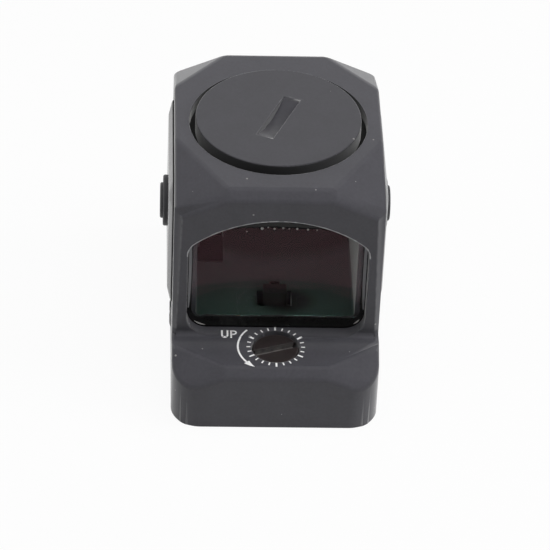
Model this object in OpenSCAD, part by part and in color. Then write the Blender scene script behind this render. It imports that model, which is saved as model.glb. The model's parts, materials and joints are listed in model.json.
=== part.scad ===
// Enclosed micro red dot sight: housing, optics, battery, buttons and the two adjusters.
// X runs right, Y runs forward towards the target, Z runs up, and the base stands on z = 0.

/* [Housing] */
// Length of the base, front to rear
base_length = 44.6; // [44:0.2:50]
// Width of the body without its side pads
base_width = 28; // [27:0.2:31]
// Radius of the upright rear corners of the base
rear_corner_radius = 4; // [1:0.25:5]
// Height of the rear deck
deck_height = 9.7; // [9.5:0.1:11]
// Depth of the rear deck behind the rear face
deck_depth = 7.85; // [7.7:0.05:9]
// Height of the flat top
body_height = 33.5; // [32.5:0.1:36]
// How far the front face leans back at its top
front_setback = 3.3; // [2:0.05:4.2]
// Height at which the front face starts to lean
slope_start = 7; // [4:0.25:9]
// Chamfer along the edges of the top and of the deck
edge_chamfer = 1.3; // [0.6:0.05:1.6]
// Reach of each corner facet in from the side
facet_inset = 7; // [5:0.25:9]
// Drop of each corner facet at the side
facet_drop = 3.1; // [2:0.1:3.6]
// Run of the rear top facets along the side
rear_facet_run = 11.2; // [6:0.2:14]
// Run of the front top facets along the side
front_facet_run = 7.8; // [5:0.2:12]
// Run of the deck facets along the side
deck_facet_run = 4.3; // [3:0.1:6]
// Bevel on the upright edges of the rear face, at the top
rear_bevel_top = 1.1; // [0.5:0.05:1.4]
// Bevel on the upright edges of the rear face, at the deck
rear_bevel_foot = 0.5; // [0.2:0.05:1]
// Bevel on the upright front edges
front_bevel = 2; // [1:0.1:2.2]
// Radius of the fillet where the deck meets the rear face
deck_fillet = 0.8; // [0.3:0.05:1]

/* [Rear window] */
// Wall between the window recess and the side
window_side_wall = 1.95; // [1.7:0.05:2.6]
// Drop from the flat top to the crown of the window
window_crown_drop = 4.55; // [3.8:0.05:5.5]
// Radius of the window's arched top
window_arch_radius = 18; // [16:0.5:40]
// Radius of the upper corners of the window
window_top_radius = 2.5; // [1:0.1:3]
// Radius of the lower corners of the window
window_foot_radius = 2.8; // [1:0.1:3.5]
// Step from the deck up to the foot of the window
window_sill = 0.1; // [0.05:0.01:0.4]
// Depth of the recess in front of the rear glass
window_recess = 1.9; // [1.6:0.1:3.2]
// Thickness of the rear glass
window_glass = 1.6; // [1:0.1:1.8]
// Width of the bead round the rear glass
window_bead = 0.65; // [0.4:0.05:0.9]
// Extra width of the bead along the foot of the rear glass
window_bead_foot = 0.6; // [0:0.05:0.8]
// Depth of the bead
window_bead_depth = 1.3; // [0.6:0.05:1.5]

/* [Front lens] */
// Depth of the recess in front of the front lens
lens_recess = 1.4; // [1:0.1:1.8]
// Thickness of the cemented pair at its rim
lens_pair = 4.8; // [4.4:0.1:5]
// Thickness of the outer element on the axis
lens_outer_centre = 1.4; // [1:0.1:1.8]
// Radius of the curved face between the two elements
lens_mirror_radius = 48; // [46:1:80]
// Ledge that the lens overlaps at each side of the tunnel
lens_side_ledge = 0.9; // [0.5:0.05:1.2]
// Ledge below the lens
lens_foot_ledge = 0.7; // [0.5:0.05:0.9]
// Ledge above the lens
lens_crown_ledge = 1.9; // [1.4:0.05:2.2]
// Width of the bead round the front lens
lens_bead = 0.7; // [0.4:0.05:1]
// Depth of the bead
lens_bead_depth = 0.8; // [0.4:0.05:0.9]

/* [Sight tunnel] */
// Rise of the tunnel floor above the deck
tunnel_rise = 1; // [0.8:0.05:1.6]
// Roof between the tunnel and the battery well
tunnel_roof = 1; // [0.7:0.05:1.6]
// Wall between the tunnel and a switch pocket
tunnel_wall = 1.2; // [0.8:0.05:1.6]
// Radius of the tunnel's arched ceiling
tunnel_arch_radius = 30; // [24:1:60]
// Radius of the upper corners of the tunnel
tunnel_top_radius = 2; // [1:0.1:3]
// Radius of the lower corners of the tunnel
tunnel_foot_radius = 0.5; // [0.3:0.05:1]

/* [Battery] */
// Diameter of the coin cell
cell_diameter = 20; // [19:0.1:20.3]
// Thickness of the coin cell
cell_thickness = 3.2; // [2.5:0.1:3.4]
// Diameter of the battery cap
cap_diameter = 22.4; // [22.2:0.1:23]
// Height of the cap above the flat top
cap_proud = 0.75; // [0.2:0.05:1.2]
// Width of the groove round the cap
cap_gap = 0.8; // [0.5:0.05:1]
// Depth of the groove round the cap
groove_depth = 1.6; // [1.2:0.1:2]
// Length of the cap's threaded spigot below the groove
thread_length = 1.9; // [1.6:0.1:2.4]
// Wall of the spigot round the cell
spigot_wall = 0.7; // [0.6:0.05:0.75]
// Height of the band that holds the O-ring
seal_band = 1.15; // [1:0.05:1.4]
// Radius of the cap's O-ring section
cap_ring_section = 0.26; // [0.15:0.01:0.3]
// Rounding of the cap's rim
cap_rim_round = 0.2; // [0.1:0.05:0.6]
// Length of the coin slot
coin_slot_length = 9.9; // [6:0.1:12]
// Width of the coin slot
coin_slot_width = 2.4; // [1.4:0.1:3]
// Depth of the coin slot
coin_slot_depth = 1.2; // [0.8:0.05:1.5]
// Angle of the coin slot from the X axis
coin_slot_angle = 66; // [0:1:180]
// Thickness of the contact on the floor of the well
contact_thickness = 0.2; // [0.1:0.05:0.4]
// Shift of the well from the middle of the top, forward
well_shift = -0.25; // [-0.5:0.05:0.25]

/* [Side buttons] */
// Length of a side pad
pad_length = 23; // [16:0.5:24]
// Height of a side pad
pad_height = 20; // [14:0.5:20.5]
// Height of the lower edge of a side pad above the deck
pad_rise = 0.3; // [0.2:0.05:1]
// Corner radius of a side pad
pad_radius = 2.8; // [1.5:0.1:4]
// How far a pad stands proud of the side
pad_proud = 0.7; // [0.6:0.05:1.4]
// How far a pad is let into the side
pad_sink = 0.5; // [0.3:0.05:0.6]
// Width of the bevel round a pad
pad_bevel = 2; // [0.5:0.1:2.4]
// Height of the bevel round a pad
pad_bevel_height = 0.5; // [0.2:0.05:0.6]
// Diameter of a button
button_diameter = 7; // [5.4:0.1:7.4]
// Diameter of a button's raised tip
button_tip_diameter = 4.9; // [3:0.1:5.2]
// Height of the button's shoulder above the side
button_shoulder = 1.35; // [1.25:0.05:1.6]
// Height of the raised tip above the shoulder
button_tip = 0.4; // [0.3:0.05:0.6]
// Travel of a button
button_travel = 0.45; // [0.3:0.05:0.6]
// Thickness of the flange that holds a button in
flange_thickness = 0.4; // [0.3:0.05:0.5]
// How far the flange reaches past the button
flange_reach = 0.9; // [0.6:0.05:1]
// Diameter of a dome switch
dome_diameter = 5; // [3:0.1:6]
// Height of a dome switch
dome_height = 0.35; // [0.2:0.05:0.45]
// Thickness of a switch board
switch_board = 0.2; // [0.1:0.05:0.3]
// Diameter of the pocket behind a button
switch_pocket_diameter = 10; // [9.4:0.1:12]

/* [Adjusters] */
// Diameter of a dial
dial_diameter = 6.4; // [5.6:0.1:7]
// Thickness of a dial
dial_thickness = 2; // [1.8:0.1:2.2]
// How far a dial lies below the surface round it
dial_sink = 0.3; // [0.1:0.05:0.5]
// Chamfer round a dial
dial_chamfer = 0.25; // [0.1:0.05:0.4]
// Width of the driver slot in a dial
dial_slot_width = 1.1; // [0.8:0.1:1.5]
// Depth of the driver slot in a dial
dial_slot_depth = 0.8; // [0.5:0.05:0.9]
// Angle of the elevation dial's slot from the X axis
elevation_slot_angle = 19; // [0:1:180]
// Angle of the windage dial's slot from the Z axis
windage_slot_angle = 0; // [0:1:180]
// Clicks in one turn of a dial
clicks = 24; // [12:1:36]
// Radius of the detent flutes
flute_radius = 0.28; // [0.2:0.01:0.3]
// Height of the detent flutes
flute_height = 0.75; // [0.7:0.05:0.8]
// Radius of a detent ball
ball_radius = 0.35; // [0.3:0.01:0.38]
// Radius of a dial's shank
shank_radius = 1.6; // [1.5:0.05:1.8]
// Depth of the dial's groove for its O-ring
dial_groove = 0.45; // [0.3:0.05:0.6]
// Radius of the dial's O-ring section
dial_ring_section = 0.21; // [0.12:0.01:0.25]
// Floor under the elevation dial
dial_floor = 1.4; // [1.2:0.1:1.8]
// Thickness of a retaining clip
clip_thickness = 0.5; // [0.3:0.05:0.6]
// Outer radius of a retaining clip
clip_radius = 2.2; // [2.1:0.05:2.4]
// Depth of the groove in the shank for a clip
clip_groove = 0.35; // [0.2:0.05:0.4]
// Radius of the elevation screw
screw_radius = 1; // [0.8:0.05:1.1]
// Radius of the windage plunger
plunger_radius = 0.9; // [0.7:0.05:1]
// Distance of the elevation dial behind the rear face
elevation_setback = 2.43; // [2.2:0.01:2.6]
// Distance of the windage dial ahead of the rear face
windage_advance = 4; // [3.6:0.05:4.2]
// Travel of the emitter up, down, left and right
emitter_travel = 0.5; // [0.3:0.05:0.6]

/* [Emitter] */
// Height of the nut on the elevation carriage
nut_height = 1.75; // [1.6:0.05:2]
// Radius of the nut on the elevation carriage
nut_radius = 2.2; // [1.8:0.05:2.6]
// Thickness of the elevation carriage
carriage_thickness = 1.2; // [1:0.05:1.4]
// Width of the carriage's arm
arm_width = 4.4; // [3:0.1:4.8]
// Depth of the carriage's guide wings
wing_depth = 1.6; // [1.2:0.1:1.8]
// Width of the rail across the carriage
rail_width = 1.2; // [0.8:0.1:1.4]
// Height of the rail across the carriage
rail_height = 0.8; // [0.5:0.05:1]
// Width of the emitter block
block_width = 6; // [5:0.1:6]
// Height of the emitter block
block_height = 2.3; // [2:0.05:2.6]
// Width of the emitter post
post_width = 3.2; // [2.4:0.1:3.6]
// Depth of the emitter post
post_depth = 2; // [1.6:0.1:2.1]
// Height of the emitter post above the tunnel floor
post_height = 1.9; // [1.7:0.05:2.6]
// Side of the square emitter
emitter_size = 1.2; // [0.8:0.05:1.3]
// Thickness of the emitter
emitter_thickness = 0.5; // [0.3:0.05:0.6]
// Thickness of the mask over the emitter
mask_thickness = 0.12; // [0.08:0.01:0.2]
// Radius of the pinhole in the mask
pinhole_radius = 0.12; // [0.05:0.01:0.2]

/* [Inside the base] */
// Half width of the rear bay
bay_half_width = 6.5; // [6.3:0.1:7]
// Roof over the deep part of the bay
bay_roof = 1.3; // [1.1:0.05:1.5]
// Wall behind the rear bay
bay_rear_wall = 2.9; // [2.6:0.05:3]
// Distance of the bay's front wall ahead of the rear face
bay_advance = 8.15; // [8.1:0.05:8.4]
// Half width of the channel between the bays
channel_half_width = 3.6; // [3.55:0.05:4]
// Half width of the front bay
front_bay_half_width = 8; // [7:0.1:8.5]
// Wall between the mount pockets and the front bay
pocket_wall = 1.1; // [0.8:0.05:1.5]
// Wall in front of the front bay
bay_front_wall = 4.8; // [4:0.1:6]
// Thickness of the circuit board
board_thickness = 0.8; // [0.4:0.1:1]
// Gap between the board and the walls of the front bay
board_margin = 0.5; // [0.3:0.05:1]
// Radius of a board screw
board_screw_radius = 0.5; // [0.4:0.05:0.6]
// Side of the controller chip
chip_size = 4; // [3:0.25:6]
// Thickness of the controller chip
chip_thickness = 0.8; // [0.5:0.05:1.2]
// Thickness of the base cover
cover_thickness = 1.1; // [0.9:0.05:1.2]
// How far the base cover lies above the foot of the base
cover_rise = 0.1; // [0.05:0.01:0.2]
// Thickness of the cover gasket
cover_gasket = 0.3; // [0.2:0.05:0.4]
// Lip of the cover beside the bays
cover_lip = 2.4; // [2.2:0.1:2.6]
// Lip of the cover behind and ahead of the bays
cover_end_lip = 1.2; // [0.8:0.05:1.4]
// Radius of a cover screw
cover_screw_radius = 0.7; // [0.5:0.05:0.8]
// Length of a cover screw
cover_screw_length = 3; // [2.4:0.1:3.4]
// Width of the ribbon from the battery to the board
ribbon_width = 3; // [2:0.1:3.4]
// Thickness of the ribbon
ribbon_thickness = 0.2; // [0.1:0.05:0.25]

/* [Mounting] */
// Distance between the two mount holes
mount_spacing = 20; // [19.6:0.1:20.6]
// Diameter of a mount hole
mount_hole_diameter = 3.7; // [3:0.1:4]
// Floor under a mount nut
mount_floor = 1.7; // [1.5:0.05:2.2]
// Diameter of a mount nut
mount_nut_diameter = 8.4; // [7.6:0.1:8.6]
// Height of a mount nut
mount_nut_height = 3.2; // [2.6:0.1:3.4]
// Bore of a mount nut
mount_nut_bore = 3.4; // [2.8:0.1:3.6]
// Diameter of the bar holes in the rim of a mount nut
bar_hole_diameter = 1.3; // [0.8:0.1:1.6]
// Bar holes in one mount nut
bar_holes = 8; // [4:1:10]
// Step along the sight from the end of the rear bay to the pockets of the mount nuts
mount_gap = 0.23; // [0.1:0.01:0.5]

/* [Clearances] */
// Radial running clearance of a turning or sliding fit
running_fit = 0.06; // [0.02:0.01:0.1]
// Gap between two pieces that seat on each other
seat_gap = 0.05; // [0.02:0.01:0.08]
// Gap round a piece set into a pocket
pocket_gap = 0.12; // [0.05:0.01:0.2]

/* [Hidden] */
$fn = 72;
// Cutting tools pass the faces that they cut by this much.
over = 1;
// A round corner passes an arch by this much, so that the two cross instead of touching.
corner_cross = 0.002;
half_w = base_width / 2;
y_base_rear = -base_length / 2;
y_base_front = base_length / 2;
y_rear = y_base_rear + deck_depth;
z_shoulder = body_height - edge_chamfer;
y_top_front = y_base_front - front_setback;
front_tilt = atan(front_setback / (z_shoulder - slope_start));

// Rear window
window_half = half_w - window_side_wall;
window_foot = deck_height + window_sill;
window_crown = body_height - window_crown_drop;
y_glass = y_rear + window_recess;
y_tunnel = y_glass + window_glass;

// Battery well, from the top down
well_y = (y_rear + y_top_front) / 2 + well_shift;
cap_radius = cap_diameter / 2;
groove_radius = cap_radius + cap_gap;
z_groove = body_height - groove_depth;
cell_radius = cell_diameter / 2;
pocket_radius = cell_radius + 2 * pocket_gap;
thread_radius = cell_radius + pocket_gap + spigot_wall;
z_cap_head = z_groove + seat_gap;
z_cap_crown = z_cap_head - seal_band;
z_cell_top = z_cap_crown - 2 * seat_gap;
z_cell = z_cell_top - cell_thickness;
z_pocket = z_cell - seat_gap - contact_thickness;
z_spigot = z_groove - thread_length;
cap_ring_radius = thread_radius - cap_ring_section;

// Side pads, buttons and switches, from the pad inwards
pad_y = well_y;
pad_z = deck_height + pad_rise + pad_height / 2;
x_pad_inner = half_w - pad_sink;
x_flange = x_pad_inner - seat_gap - flange_thickness;
x_dome = x_flange - button_travel - seat_gap;
x_switch_floor = x_dome - dome_height - switch_board;
button_radius = button_diameter / 2;
flange_radius = button_radius + flange_reach;

// Sight tunnel
tunnel_half = x_switch_floor - tunnel_wall;
tunnel_floor = deck_height + tunnel_rise;
tunnel_crown = z_pocket - tunnel_roof;
tunnel_mid = (tunnel_floor + tunnel_crown) / 2;
tunnel_half_height = (tunnel_crown - tunnel_floor) / 2;

// Front lens, in a frame that leans with the front face
y_lens_face = y_base_front - (tunnel_mid - slope_start) * tan(front_tilt);
lens_half = tunnel_half + lens_side_ledge;
lens_foot = -tunnel_half_height - lens_foot_ledge;
lens_crown = tunnel_half_height + lens_crown_ledge;
lens_depth = lens_recess + lens_pair;
y_tunnel_end = y_lens_face - lens_depth * cos(front_tilt) + tunnel_half_height * sin(front_tilt);

// Dials: a surface, a head let into it and a shank that ends in a clip
dial_radius = dial_diameter / 2;
dial_seat = dial_sink + dial_thickness + seat_gap;
elevation_reach = dial_seat + dial_floor;
y_elevation = y_rear - elevation_setback;
z_bay_low = deck_height - elevation_reach;
clip_depth = clip_thickness + 2 * seat_gap;
windage_reach = half_w - bay_half_width;
y_windage = y_rear + windage_advance;
flute_depth = dial_sink + dial_thickness - flute_height / 2;
ball_offset = dial_radius + ball_radius + seat_gap;
detent_length = 3;

// Elevation carriage and emitter block, from the clip down
z_nut_top = z_bay_low - clip_depth - seat_gap - emitter_travel;
z_carriage = z_nut_top - nut_height;
z_slide = z_carriage + carriage_thickness;
z_block = z_slide + seat_gap;
z_windage = z_block + block_height / 2;
z_bay = deck_height - bay_roof;
y_bay_front = y_rear + bay_advance;
y_bay_rear = y_base_rear + bay_rear_wall;
y_bay_step = y_windage - clip_radius;
wing_front = y_bay_front - pocket_gap;
rail_y = y_windage + clip_radius - rail_width / 2;
post_front = y_bay_front - pocket_gap;
z_post = tunnel_floor + post_height;
post_slot = post_width / 2 + emitter_travel + 2 * pocket_gap;
z_emitter = z_post - emitter_size / 2 - pocket_gap;
spring_wire = 0.12;
coil_pitch = 0.8;
elevation_spring_radius = 0.62;
elevation_spring_x = bay_half_width - elevation_spring_radius - 3 * spring_wire - pocket_gap;
windage_spring_radius = 0.95;

// Mount nuts
mount_x = mount_spacing / 2;
mount_pocket_radius = mount_nut_diameter / 2 + pocket_gap;
z_nut = mount_floor + seat_gap;
mount_pocket_top = z_nut + mount_nut_height + seat_gap;
mount_y = y_bay_front + mount_gap + mount_pocket_radius;

// Front bay, board and cover
y_front_bay = mount_y + mount_pocket_radius + pocket_wall;
y_front_bay_end = y_base_front - bay_front_wall;
z_cover_top = cover_rise + cover_thickness;
z_cover_seat = z_cover_top + cover_gasket;
board_top = z_bay - seat_gap;
board_half = front_bay_half_width - board_margin;
board_rear = y_front_bay + board_margin;
board_front = y_front_bay_end - board_margin;
board_screw_inset = 1.2;
board_screw_head = 0.5;
board_screw_bite = 0.8;
cover_inset = cover_lip / 2;

// Ribbon down the left wall of the tunnel, just clear of the round lower corner
ribbon_gap = 0.3 * tunnel_foot_radius + seat_gap / 2;
ribbon_x = -tunnel_half + ribbon_gap;
ribbon_rear = well_y - ribbon_width / 2;
ribbon_z = tunnel_floor + ribbon_gap;
ribbon_top = z_pocket + cell_thickness / 3;
ribbon_drop_x = -board_half + 2 * ribbon_thickness;
ribbon_drop_y = board_rear + board_screw_inset * 2;

alloy = [0.10, 0.10, 0.105];
rubber = [0.06, 0.06, 0.06];
steel = [0.62, 0.62, 0.64];
glass = [0.30, 0.12, 0.11, 0.6];

// Normal of the plane through three points, turned to point up.
function upward(a, b, c) = let (n = cross(b - a, c - a)) n[2] < 0 ? -n : n;

// Cuts away everything on the outer side of a plane.
module half_space(point, normal) {
    size = 3 * (base_length + body_height);
    turn = acos(normal[2] / norm(normal));
    translate(point) rotate([0, turn, atan2(normal[1], normal[0])])
        translate([-size / 2, -size / 2, 0]) cube(size);
}

module both_sides() {
    children();
    mirror([1, 0, 0]) children();
}

// Carries an outline drawn in x and z along Y, from y0 to y1.
module along_y(y0, y1) {
    translate([0, y1, 0]) rotate([90, 0, 0]) linear_extrude(y1 - y0) children();
}

// Carries an outline drawn in y and z along X, from x0 to x1.
module along_x(x0, x1) {
    translate([x0, 0, 0]) rotate([90, 0, 90]) linear_extrude(x1 - x0) children();
}

module box(x0, x1, y0, y1, z0, z1) {
    translate([x0, y0, z0]) cube([x1 - x0, y1 - y0, z1 - z0]);
}

module rod(radius, z0, z1) {
    translate([0, 0, z0]) cylinder(r = radius, h = z1 - z0);
}

module rounded_rectangle(w, h, r) {
    square([w - 2 * r, h], center = true);
    square([w, h - 2 * r], center = true);
    for (x = [-1, 1], y = [-1, 1])
        translate([x * (w / 2 - r), y * (h / 2 - r)]) circle(r);
}

// Middle of the corner circle that touches the side of an arched outline and just crosses its arch.
function arch_corner(half, crown, arch, r) =
    [half - r, crown - arch + sqrt(pow(arch - r + corner_cross, 2) - pow(half - r, 2))];

// Outline with straight sides, round lower corners and an arched top.
module arched(half, foot, crown, arch, r_top, r_foot) {
    centre = crown - arch;
    corner_x = arch_corner(half, crown, arch, r_top)[0];
    corner_z = arch_corner(half, crown, arch, r_top)[1];
    touch = arch / (arch - r_top + corner_cross);
    touch_x = corner_x * touch;
    touch_z = centre + (corner_z - centre) * touch;
    polygon([
        [-half, foot + r_foot], [half, foot + r_foot], [half, corner_z],
        [corner_x, corner_z], [-corner_x, corner_z], [-half, corner_z]
    ]);
    intersection() {
        translate([0, centre]) circle(arch, $fn = 180);
        translate([-touch_x, corner_z - over]) square([2 * touch_x, crown - corner_z + 2 * over]);
    }
    for (side = [-1, 1]) {
        translate([side * corner_x, corner_z]) circle(r_top);
        translate([side * (half - r_foot), foot + r_foot]) circle(r_foot);
    }
    translate([-half + r_foot, foot]) square([2 * (half - r_foot), r_foot + over]);
}

module window_outline(inset = 0, foot_inset = 0) {
    arched(
        window_half - inset, window_foot + inset + foot_inset, window_crown - inset,
        window_arch_radius - inset, max(window_top_radius - inset, 0.3),
        max(window_foot_radius - inset, 0.3)
    );
}

module tunnel_outline() {
    arched(
        tunnel_half, tunnel_floor, tunnel_crown, tunnel_arch_radius, tunnel_top_radius,
        tunnel_foot_radius
    );
}

module lens_outline(inset = 0) {
    arched(
        lens_half - inset, lens_foot + inset, lens_crown - inset, window_arch_radius - inset,
        max(window_top_radius - inset, 0.3), max(window_foot_radius - inset, 0.3)
    );
}

// Distance of a flat from the middle of a corner circle, so that its ends stay close to the circle.
function corner_flat(r, turn) = r * (cos(turn) + 0.13 * sin(turn));

// Outline of the lens itself: as its pocket, with a flat across each corner.
module lens_blank() {
    half = lens_half - pocket_gap;
    foot = lens_foot + pocket_gap;
    crown = lens_crown - pocket_gap;
    arch = window_arch_radius - pocket_gap;
    r_top = window_top_radius - pocket_gap;
    r_foot = window_foot_radius - pocket_gap;
    upper = arch_corner(half, crown, arch, r_top);
    upper_turn = atan2(upper[1] - crown + arch, upper[0]) / 2;
    difference() {
        intersection() {
            translate([-half, foot]) square([2 * half, crown - foot]);
            translate([0, crown - arch]) circle(arch, $fn = 180);
        }
        for (side = [0, 1])
            mirror([side, 0]) {
                translate(upper) rotate(upper_turn)
                    translate([corner_flat(r_top, upper_turn), -half / 2]) square(half);
                translate([half - r_foot, foot + r_foot]) rotate(-45)
                    translate([corner_flat(r_foot, 45), -half / 2]) square(half);
            }
    }
}

// Frame of the front lens: y = 0 on the leaning face, z = 0 at the middle of the tunnel.
module on_front() {
    translate([0, y_lens_face, tunnel_mid]) rotate([front_tilt, 0, 0]) children();
}

module on_deck() {
    translate([0, y_elevation, deck_height]) children();
}

// Frame on the right side with its z axis outwards and its x axis up.
module on_right_side() {
    translate([half_w, y_windage, z_windage]) rotate([0, 90, 0]) rotate([0, 0, 180]) children();
}

// Frame on a side with its z axis outwards, at the middle of the pad.
module on_pad(side) {
    translate([0, pad_y, pad_z]) rotate([0, side * 90, 0]) children();
}

// A corner facet of a top face and the chamfer that runs on along its edge.
module corner_facet(y_edge, z_edge, run, out) {
    inner = [half_w - facet_inset, y_edge, z_edge];
    along = [half_w, y_edge - out * run, z_edge];
    low = [half_w, y_edge, z_edge - facet_drop];
    chamfer = inner + [0, out * edge_chamfer, -edge_chamfer];
    half_space(inner, upward(inner, along, low));
    half_space(inner, upward(inner, low, chamfer));
}

module base_block() {
    difference() {
        union() {
            box(-half_w, half_w, y_base_rear + rear_corner_radius, y_base_front, 0, deck_height);
            box(
                -half_w + rear_corner_radius, half_w - rear_corner_radius, y_base_rear,
                y_base_rear + rear_corner_radius + over, 0, deck_height
            );
            both_sides()
                translate([half_w - rear_corner_radius, y_base_rear + rear_corner_radius, 0])
                    cylinder(r = rear_corner_radius, h = deck_height);
        }
        both_sides() corner_facet(y_base_rear + edge_chamfer, deck_height, deck_facet_run, -1);
        half_space([0, y_base_rear + edge_chamfer, deck_height], [0, -1, 1]);
    }
}

module upper_block() {
    foot = min(deck_height, slope_start) - over;
    top = [half_w - rear_bevel_top, y_rear, z_shoulder];
    low = [half_w - rear_bevel_foot, y_rear, deck_height];
    side = [half_w, y_rear + rear_bevel_top, z_shoulder];
    difference() {
        along_x(-half_w, half_w)
            polygon([
                [y_rear, foot], [y_rear, z_shoulder], [y_rear + edge_chamfer, body_height],
                [y_top_front - edge_chamfer, body_height],
                [y_base_front, z_shoulder - front_setback], [y_base_front, foot]
            ]);
        both_sides() {
            corner_facet(y_rear + edge_chamfer, body_height, rear_facet_run, -1);
            corner_facet(y_top_front - edge_chamfer, body_height, front_facet_run, 1);
            half_space(top, cross(low - top, side - top));
        }
    }
}

// Concave fillet along the foot of the rear face, outside the window.
module foot_fillet() {
    reach = half_w - rear_bevel_foot - 2 * seat_gap;
    difference() {
        box(
            -reach, reach, y_rear - deck_fillet, y_rear + over,
            deck_height - over, deck_height + deck_fillet
        );
        translate([0, y_rear - deck_fillet, deck_height + deck_fillet]) rotate([0, 90, 0])
            cylinder(r = deck_fillet, h = 2 * base_width, center = true);
    }
}

module dial_hole(reach) {
    rod(dial_radius + running_fit, -dial_seat, over);
    rod(shank_radius + running_fit, -reach - over, over);
}

// Blind hole for a detent ball and its spring, out from the dial's axis along +X.
module detent_hole() {
    translate([0, 0, -flute_depth]) rotate([0, 90, 0])
        rod(ball_radius + running_fit, dial_radius, ball_offset + detent_length);
}

// Plan of the two bays and their channel, grown sideways and at its two ends.
module bay_plan(side = 0, end = 0) {
    corner = min(side, pocket_wall / 2);
    translate([-bay_half_width - side, y_bay_rear - end])
        square([2 * (bay_half_width + side), y_bay_front - y_bay_rear + end + corner]);
    translate([-channel_half_width - side / 2, y_bay_front - over])
        square([2 * channel_half_width + side, y_front_bay - y_bay_front + 2 * over]);
    translate([-front_bay_half_width - side, y_front_bay - corner])
        square([2 * (front_bay_half_width + side), y_front_bay_end - y_front_bay + corner + end]);
}

module cover_plan() {
    bay_plan(cover_lip - pocket_gap, cover_end_lip - pocket_gap);
}

module cover_screw_places() {
    rear_x = bay_half_width + cover_inset;
    front_x = front_bay_half_width + cover_inset;
    both_sides() {
        translate([rear_x, y_bay_rear + cover_inset, 0]) children();
        translate([rear_x, y_bay_front - cover_inset, 0]) children();
        translate([front_x, y_front_bay + cover_inset, 0]) children();
        translate([front_x, y_front_bay_end - cover_inset, 0]) children();
    }
}

module board_screw_places() {
    both_sides()
        for (y = [board_rear + board_screw_inset, board_front - board_screw_inset])
            translate([board_half - board_screw_inset, y, 0]) children();
}

module mount_pocket(z0, z1) {
    translate([mount_x, mount_y, 0]) rod(mount_pocket_radius, z0, z1);
    box(
        mount_x, half_w + over, mount_y - mount_pocket_radius,
        mount_y + mount_pocket_radius, z0, z1
    );
}

module well_cut() {
    translate([0, well_y, 0]) {
        rod(groove_radius, z_groove, body_height + over);
        rod(thread_radius + running_fit, z_spigot, body_height);
        rod(pocket_radius, z_pocket, body_height);
    }
    box(
        -tunnel_half - seat_gap, -cell_radius + over, ribbon_rear - pocket_gap,
        ribbon_rear + ribbon_width + pocket_gap, tunnel_mid, ribbon_top + pocket_gap
    );
}

module optics_cut() {
    along_y(y_rear - over, y_tunnel) window_outline();
    along_y(y_tunnel - over, y_tunnel_end) tunnel_outline();
    on_front() along_y(-lens_depth, 4 * over) lens_outline();
}

module side_cut(side) {
    on_pad(side) {
        translate([0, 0, x_pad_inner]) linear_extrude(pad_sink + over)
            rounded_rectangle(
                pad_height + 2 * pocket_gap, pad_length + 2 * pocket_gap, pad_radius + pocket_gap
            );
        rod(switch_pocket_diameter / 2, x_switch_floor, half_w);
    }
}

module bay_cut() {
    difference() {
        translate([0, 0, -over]) linear_extrude(z_bay + over) bay_plan();
        box(-half_w, half_w, y_base_rear, y_bay_step, z_bay_low, body_height);
    }
    translate([0, 0, -over]) linear_extrude(z_cover_seat + over) bay_plan(cover_lip, cover_end_lip);
    cover_screw_places() rod(cover_screw_radius + running_fit, 0, cover_screw_length + over / 2);
    board_screw_places() rod(board_screw_radius + running_fit, z_bay - over, z_bay + board_screw_bite);
    box(
        -post_slot, post_slot, post_front - post_depth - 3 * pocket_gap,
        post_front + emitter_thickness + 3 * pocket_gap, z_bay - over, tunnel_floor + over
    );
    box(
        ribbon_drop_x - pocket_gap, ribbon_drop_x + ribbon_thickness + pocket_gap,
        ribbon_drop_y - pocket_gap, ribbon_drop_y + ribbon_width + pocket_gap,
        z_bay - over, tunnel_floor + over
    );
}

module housing() {
    color(alloy) difference() {
        union() {
            base_block();
            upper_block();
            foot_fillet();
        }
        half_space([0, y_base_front, slope_start], [0, cos(front_tilt), sin(front_tilt)]);
        both_sides() {
            half_space([half_w - front_bevel, y_base_front, 0], [1, 1, 0]);
            half_space(
                [half_w - front_bevel, y_base_front, slope_start],
                [1, cos(front_tilt), sin(front_tilt)]
            );
            mount_pocket(mount_floor, mount_pocket_top);
            translate([mount_x, mount_y, 0]) rod(mount_hole_diameter / 2, -over, mount_floor + over);
        }
        well_cut();
        optics_cut();
        side_cut(-1);
        side_cut(1);
        on_deck() dial_hole(elevation_reach);
        on_deck() rotate([0, 0, 180]) detent_hole();
        on_right_side() dial_hole(windage_reach);
        on_right_side() rotate([0, 0, 90]) detent_hole();
        bay_cut();
    }
}

module rear_window() {
    color(glass) along_y(y_glass, y_tunnel - seat_gap) window_outline(pocket_gap);
}

// Bead in the corner between the rear glass and its recess, wider along the foot.
module rear_window_gasket() {
    color(rubber) difference() {
        along_y(y_glass - window_bead_depth, y_glass - seat_gap) window_outline(pocket_gap);
        along_y(y_glass - window_bead_depth - over, y_glass + over)
            window_outline(pocket_gap + window_bead, window_bead_foot);
    }
}

// Cap of a ball, rising to its top at z = 0, with a flat foot at a depth.
module ball_cap(ball, depth) {
    rotate_extrude() intersection() {
        translate([0, -ball]) circle(ball, $fn = 360);
        translate([0, -depth]) square([ball, depth]);
    }
}

// Everything behind the curved face between the two lens elements.
module behind_mirror(gap) {
    translate([0, -lens_recess - lens_outer_centre - gap, 0]) rotate([-90, 0, 0])
        ball_cap(lens_mirror_radius, lens_pair + over);
}

module front_lens_outer() {
    color(glass) on_front() difference() {
        along_y(-lens_depth + seat_gap, -lens_recess) lens_blank();
        behind_mirror(0);
    }
}

module front_lens_inner() {
    color(glass) on_front() intersection() {
        along_y(-lens_depth + seat_gap, -lens_recess) lens_blank();
        behind_mirror(seat_gap);
    }
}

module front_lens_gasket() {
    color(rubber) on_front() difference() {
        along_y(-lens_recess + seat_gap, -lens_recess + lens_bead_depth) lens_outline(pocket_gap);
        along_y(-lens_depth, over) lens_outline(pocket_gap + lens_bead);
    }
}

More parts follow.
